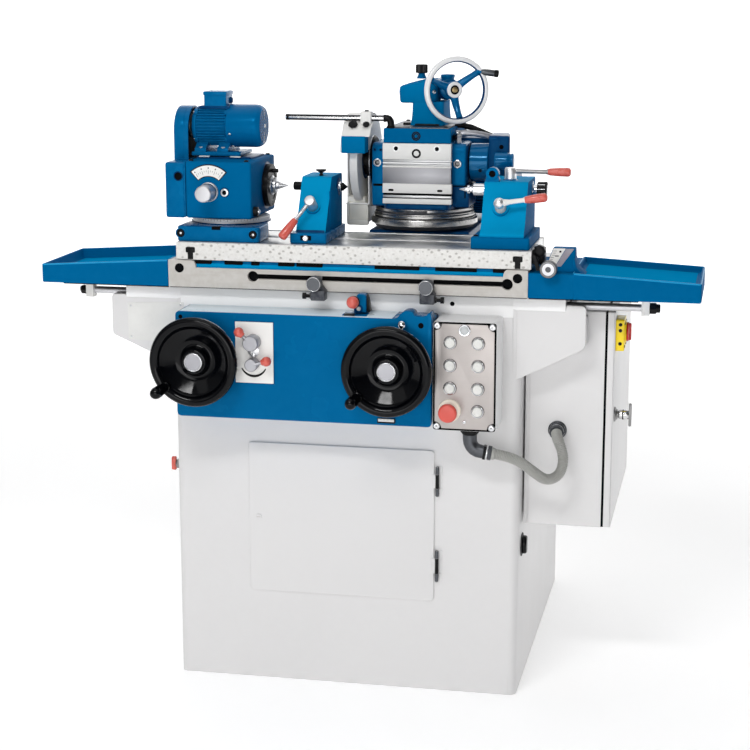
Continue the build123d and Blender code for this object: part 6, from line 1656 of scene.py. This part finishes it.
# raised front lip, in a lighter white: painted light where the table shades it
P.prism(WHITE_LIT, [(0, 862), (13, 862), (13, 905.4), (11.4, 906.2), (2.4, 906.2), (0.6, 905.4), (0, 904)], "x", -hw + 18, hw - 18, 0, 0)
for x0, x1 in ((-500, -hw + 18), (hw - 18, 485)):
    P.prism(WHITE_LIT, [(0, 881), (1.2, 879), (13, 879), (13, 905.4), (11.4, 906.2), (2.4, 906.2), (0.6, 905.4), (0, 904)], "x", x0, x1, 0, 0)
# overhangs at both ends, set back a little from the lip
P.prism(WHITE, [(-535, 885), (-535, 793), (-391, 731), (-380, 731), (-380, 880), (-500, 880), (-502, 885)], "y", 0.7, 13.2, [9, 9, 3, 0, 0, 0, 2], 3.0, 4)
P.prism(WHITE, [(-535, 885), (-535, 793), (-391, 731), (-380, 731), (-380, 864)], "y", 12.5, 57.5, [9, 9, 3, 0, 0], 0.6)
P.prism(WHITE, [(-535, 885), (-535, 793), (-391, 731), (-380, 731), (-380, 885)], "y", 57, 240, [9, 9, 3, 0, 0], 2.0, 3)
P.prism(WHITE, [(380, 880), (380, 726), (391, 730), (529, 799), (529, 893), (487, 893), (485, 880)], "y", 0.7, 13.2, [0, 0, 3, 12, 12, 2, 0], 4.0, 4)
P.prism(WHITE, [(380, 864), (380, 726), (391, 730), (529, 799), (529, 864)], "y", 12.5, 57.6, [0, 0, 3, 12, 2], 1.0)
P.box(WHITE, 380, 490, 56, 240, 876, 885, 1.0)
# rear: screwed cover with louvres, cable gland, drain plug
P.prism(WHITE, [(-230, 170), (230, 170), (230, 640), (-230, 640)], "y", 843.5, 845.6, 12, 0.5, 2)
for i in range(9):
    for x0 in (-170, 30):
        P.prism(SHADE, [(x0, 470 + i * 14), (x0 + 140, 470 + i * 14), (x0 + 140, 475 + i * 14), (x0, 475 + i * 14)], "y", 845.2, 845.75, 2.4, 0)
for x in (-218, 0, 218):
    for z in (182, 628):
        P.lathe(STEELD, (x, 845.5, z), (0, 1, 0), [(5.4, -0.4), (5.2, 0.4), (0, 0.45)], 24, cap=False)
        P.box(GAP_SHADE, x - 3.8, x + 3.8, 845.6, 845.98, z - 0.5, z + 0.5, 0)
P.lathe(RUBBER, (300, 844.4, 120), (0, 1, 0), [(17, -1), (16.4, 1.2, 0.5), (10, 1.5), (9.6, 0.2), (0, 0.1)], 40, cap=False)
P.lathe(STEELD, (-300, 844.4, 70), (0, 1, 0), [(12, -1), (12, 1.2, 0.5), (6, 1.4), (5.4, 0.4), (0, 0.3)], 6, cap=False)
# bare info plate on the left overhang, with its rivets
P.prism(PLATE, [(-497, 866), (-366, 871), (-366, 779), (-497, 782)], "y", -0.6, 3.6, 2, 0.4)
for x, z in ((-490, 859), (-374, 864), (-490, 789), (-374, 787)):
    P.lathe(SILVER, (x, -0.6, z), (0, -1, 0), [(2.6, -0.2), (2.6, 0.5), (1.4, 1.1), (0, 1.2)], 16, cap=False)
# plugged hole in the lip and cable hole with its grommet
P.lathe(GAP_SHADE, (240, -0.05, 888), (0, -1, 0), [(5.0, -3), (5.0, 0.15), (0, 0.2)], 24, cap=False)
P.prism(BLACK, [(58, 314), (82, 314), (90, 334), (82, 354), (58, 354), (50, 334)], "x", 390.6, 404, [9, 9, 12, 9, 9, 12], 5.0, 4)
P.prism(RUBBER, [(54, 309), (86, 309), (96, 334), (86, 359), (54, 359), (44, 334)], "x", 390.6, 393.4, [9, 9, 12, 9, 9, 12], 1.0)
# hinge leaves and pins
for z0, z1 in ((455, 525), (258, 332)):
    for a in (z0 + 2, z1 - 18):
        P.box(WHITE, 212, 222, -1.3, 0.4, a, a + 16, 0.4)
        P.lathe(GLAND, (211, -7.0, a), (0, 0, 1), [(3.05, 0), (4.0, 0.1, 0.3), (4.0, 15.8, 0.3), (3.05, 16)], 24, cap=False)
        P.box(SHADE, 208, 212.5, -4, -0.2, a + 0.4, a + 15.6, 0.2)
    P.lathe(STEELD, (211, -7.0, z0), (0, 0, 1), [(0, 0.1), (2.9, 0.2), (2.9, z1 - z0 - 0.2), (0, z1 - z0 - 0.1)], 20, cap=False)
# screw bearing behind the front wall
P.box(IRON, 95.2, 146.8, 14, 60, 700, 786, 1.0)
P.done("base_casting", slot="white_paint")

P = Piece("pedestal_door", "base_door")
P.prism(WHITE, [(-220, 212), (204, 212), (204, 559), (-220, 559)], "y", -5, -1.4, 9, 1.4, 3, n=7)
for z0, z1 in ((455, 525), (258, 332)):
    P.box(WHITE, 199, 208, -6.4, -4.6, z0 + 19.4, z1 - 19.4, 0.6)
    P.lathe(BLACKM, (211, -7.0, z0 + 19.4), (0, 0, 1), [(3.1, 0), (4.0, 0.1, 0.3), (4.0, z1 - z0 - 39, 0.3), (3.1, z1 - z0 - 38.8)], 24, cap=False)
P.lathe(WHITE, (-198, -4.8, 385.5), (0, -1, 0), [(6.8, -0.4), (6.8, 1.6, 0.6), (5.4, 2.4, 0.4), (0, 2.5)], 32, cap=False)
P.box(GREY, -202.6, -193.4, -7.5, -7.0, 384.7, 386.3, 0.2, 1)
P.done("base_door", slot="white_paint")

# ---------------------------------------------------------------- slideways, cylinder, oil tank with its pump
P = Piece("bed_slideways", "base")
P.box(STEEL, -500, 485, 62, 100, 884.8, 904.8, 0.6)
P.prism(STEEL, [(136, 884.8), (204, 884.8), (204, 894), (182, 904.8), (158, 904.8), (136, 894)], "x", -500, 485, 0, 0.5)
for x0, x1 in ((-10, 50), (178, 238)):
    P.box(STEEL, x0, x1, 345, 840, 884.8, 904.8, 0.8)
    for y in (380, 480, 580, 680, 780):
        P.lathe(GAP_SHADE, ((x0 + x1) / 2, y, 904.6), (0, 0, 1), [(6, -2), (6, 0.15), (0, 0.2)], 20, cap=False)
P.done("slideways", slot="ground_steel")

P = Piece("hydraulic_set", "base")
P.lathe(STEELD, (-470, 35, 887), (1, 0, 0), [(8.2, 0), (16, 0.3, 1), (17.8, 3, 0.6), (17.8, 20), (16.6, 21), (16.6, 919), (17.8, 920), (17.8, 937, 0.6), (16, 939.7), (8.2, 940)], 40, cap=False)
for x in (-460, 450):
    P.lathe(BLACKM, (x, 35, 887), (1, 0, 0), [(17.2, -2), (17.9, -1), (17.9, 8), (17.2, 9)], 40, cap=False)
for x0 in (-340, 310):
    P.box(IRON, x0, x0 + 28, 15.4, 54.6, 864, 872, 0.8)
P.box(GREY, -300, 300, 300, 720, 15, 188, 3.0)
P.box(GREY, -304, 304, 296, 724, 180, 190, 1.5)
P.box(IRON, -60, 60, 420, 540, 189, 200, 1.5)
P.lathe(BLUE_SHADED, (0, 480, 200), (0, 0, 1), [(70, 0), (70, 14, 1), (64, 16), (64, 180), (68, 182, 1), (68, 200, 2), (60, 202, 1), (60, 226, 5), (40, 230), (0, 230)], 64, cap=False)
for i in range(36):
    M = Matrix.Translation((0, 480, 0)) @ Matrix.Rotation(radians(i * 10), 4, "Z")
    P.box(BLUE_SHADED, 62, 69.5, -1.2, 1.2, 218, 378, 0.5, 1, mat=M)
P.box(BLUE_SHADED, 64, 110, 440, 520, 260, 340, 3.0)
P.lathe(BLACKM, (-220, 380, 189), (0, 0, 1), [(30, 0), (30, 8, 1), (24, 9), (24, 26, 3), (0, 28)], 32, cap=False)
P.lathe(GLASS, (160, 299.6, 120), (0, -1, 0), [(16, -1), (16, 1.5, 0.6), (0, 2)], 32, cap=False)
P.tube(BLACKM, [(56, 520, 205), (90, 560, 240), (140, 580, 330), (150, 560, 480), (120, 480, 640), (60, 300, 760), (20, 120, 830), (10, 70, 858)], 9, 14)
P.done("hydraulics", slot="equipment_grey")

P = Piece("drain_tap", "drain_cock")
P.lathe(STEELD, (-391, 34, 490), (-1, 0, 0), [(7.8, -11.6), (7.8, 0.5), (11.8, 0.6, 0.6), (11.8, 8, 1.5), (8.4, 11.6)], 6, cap=False)
P.prism(RED, [(28, 474), (40, 474), (41, 490), (40, 506), (28, 506), (27, 490)], "x", -413, -402.6, [5, 5, 3, 5, 5, 3], 2.4, 3)
P.lathe(SILVER, (-412, 34, 490), (-1, 0, 0), [(4, -1), (4, 0.6), (0, 0.9)], 20, cap=False)
P.done("drain_cock", slot="red_grip")


# ---------------------------------------------------------------- floor, light and camera
SCENE.view_settings.view_transform = "Standard"
SCENE.view_settings.look = "None"
SCENE.view_settings.exposure = 0.0
SCENE.view_settings.gamma = 1.0


def floor():
    t = bmesh.new()
    n, rows = 40, []
    prof = [(-60.0, 0.0), (-9.0, 0.0), (8.4, 0.0)] + [(8.4 + 1.6 * sin(radians(a * 9)), 1.6 - 1.6 * cos(radians(a * 9))) for a in range(1, 11)] + [(10.0, 12.0)]
    for y, z in prof:
        rows.append([t.verts.new((-60 + 120 * i / n, y, z)) for i in range(n + 1)])
    for A, B in zip(rows, rows[1:]):
        for i in range(n):
            t.faces.new((A[i], A[i + 1], B[i + 1], B[i]))
    me = bpy.data.meshes.new("studio_floor")
    t.to_mesh(me)
    t.free()
    me.shade_smooth()
    m = Mat("studio_paper")
    col = m.ramp(m.noise(1.3, 2.0), [(0.3, lin(250, 250, 250)), (0.7, lin(254, 254, 254))])
    m.set(col, 0.9, None, specular_ior_level=0.05, emission_strength=0.36)
    m.bsdf.inputs["Emission Color"].default_value = (1.0, 1.0, 1.0, 1.0)
    # the wall behind glows a little more than the ground in front
    sep = m.n.new("ShaderNodeSeparateXYZ")
    m.l.new(m.tc.outputs["Object"], sep.inputs[0])
    m.l.new(m.rng(sep.outputs[1], 0.34, 0.86, 1.0, 7.0), m.bsdf.inputs["Emission Strength"])
    me.materials.append(m.m)
    o = bpy.data.objects.new("studio_floor", me)
    SCENE.collection.objects.link(o)
    o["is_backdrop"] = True


floor()


def area(name, loc, aim, sx, sy, power, color=(1, 1, 1)):
    L = bpy.data.lights.new(name, "AREA")
    L.shape, L.size, L.size_y, L.energy, L.color = "RECTANGLE", sx, sy, power, color
    o = bpy.data.objects.new(name, L)
    o.location = loc
    o.rotation_euler = (Vector(aim) - Vector(loc)).to_track_quat("-Z", "Y").to_euler()
    SCENE.collection.objects.link(o)
    o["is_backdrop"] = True
    return o


area("key_left", (-2.6, -3.8, 3.2), (0, -0.1, 0.7), 2.4, 2.0, 8)
area("fill_right", (3.4, -2.6, 2.6), (0.1, 0, 0.7), 2.2, 2.2, 0.6)
area("top_soft", (0.0, 0.2, 4.2), (0, 0, 0.8), 3.4, 3.0, 25)
area("front_low", (0.3, -4.8, 1.0), (0, 0, 0.7), 3.6, 1.6, 49)
area("strip_high", (-0.3, -2.5, 2.85), (-0.1, -0.45, 0.85), 1.2, 0.32, 26)

world = bpy.data.worlds.new("studio_world")
SCENE.world = world
world.use_nodes = True
wt = world.node_tree
bg = wt.nodes["Background"]
tc = wt.nodes.new("ShaderNodeTexCoord")
sep = wt.nodes.new("ShaderNodeSeparateXYZ")
wt.links.new(tc.outputs["Generated"], sep.inputs[0])
rp = wt.nodes.new("ShaderNodeValToRGB")
for k, (pos, v) in enumerate(((0.0, 0.62), (0.10, 0.38), (0.30, 0.85), (1.0, 1.0))):
    e = rp.color_ramp.elements[k] if k < 2 else rp.color_ramp.elements.new(pos)
    e.position, e.color = pos, (v, v, v * 1.01, 1)
wt.links.new(sep.outputs[2], rp.inputs["Fac"])
side = wt.nodes.new("ShaderNodeMapRange")
for k, v in (("From Min", -0.1), ("From Max", 0.9), ("To Min", 1.0), ("To Max", 0.08)):
    side.inputs[k].default_value = v
wt.links.new(sep.outputs[0], side.inputs["Value"])
mul = wt.nodes.new("ShaderNodeVectorMath")
mul.operation = "MULTIPLY"
wt.links.new(rp.outputs["Color"], mul.inputs[0])
wt.links.new(side.outputs["Result"], mul.inputs[1])
wt.links.new(mul.outputs[0], bg.inputs["Color"])
bg.inputs["Strength"].default_value = 0.30

cam = bpy.data.cameras.new("photo_camera")
cam.sensor_width = 36.0
cam.sensor_fit = "HORIZONTAL"
cam.lens = 87.91
cam.dof.use_dof = False
co = bpy.data.objects.new("photo_camera", cam)
co.location = (0.8587, -4.28584, 1.55781)
co.rotation_euler = (radians(90 - 11.95), 0.0, radians(11.55))
SCENE.collection.objects.link(co)
co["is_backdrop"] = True
SCENE.camera = co

SIZE_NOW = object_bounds()


def plain(b):
    return [plain(v) for v in b] if isinstance(b, (list, tuple, Vector)) or hasattr(b, "tolist") else float(b)


{"cad": plain(CAD_BOX), "now": plain(SIZE_NOW)}
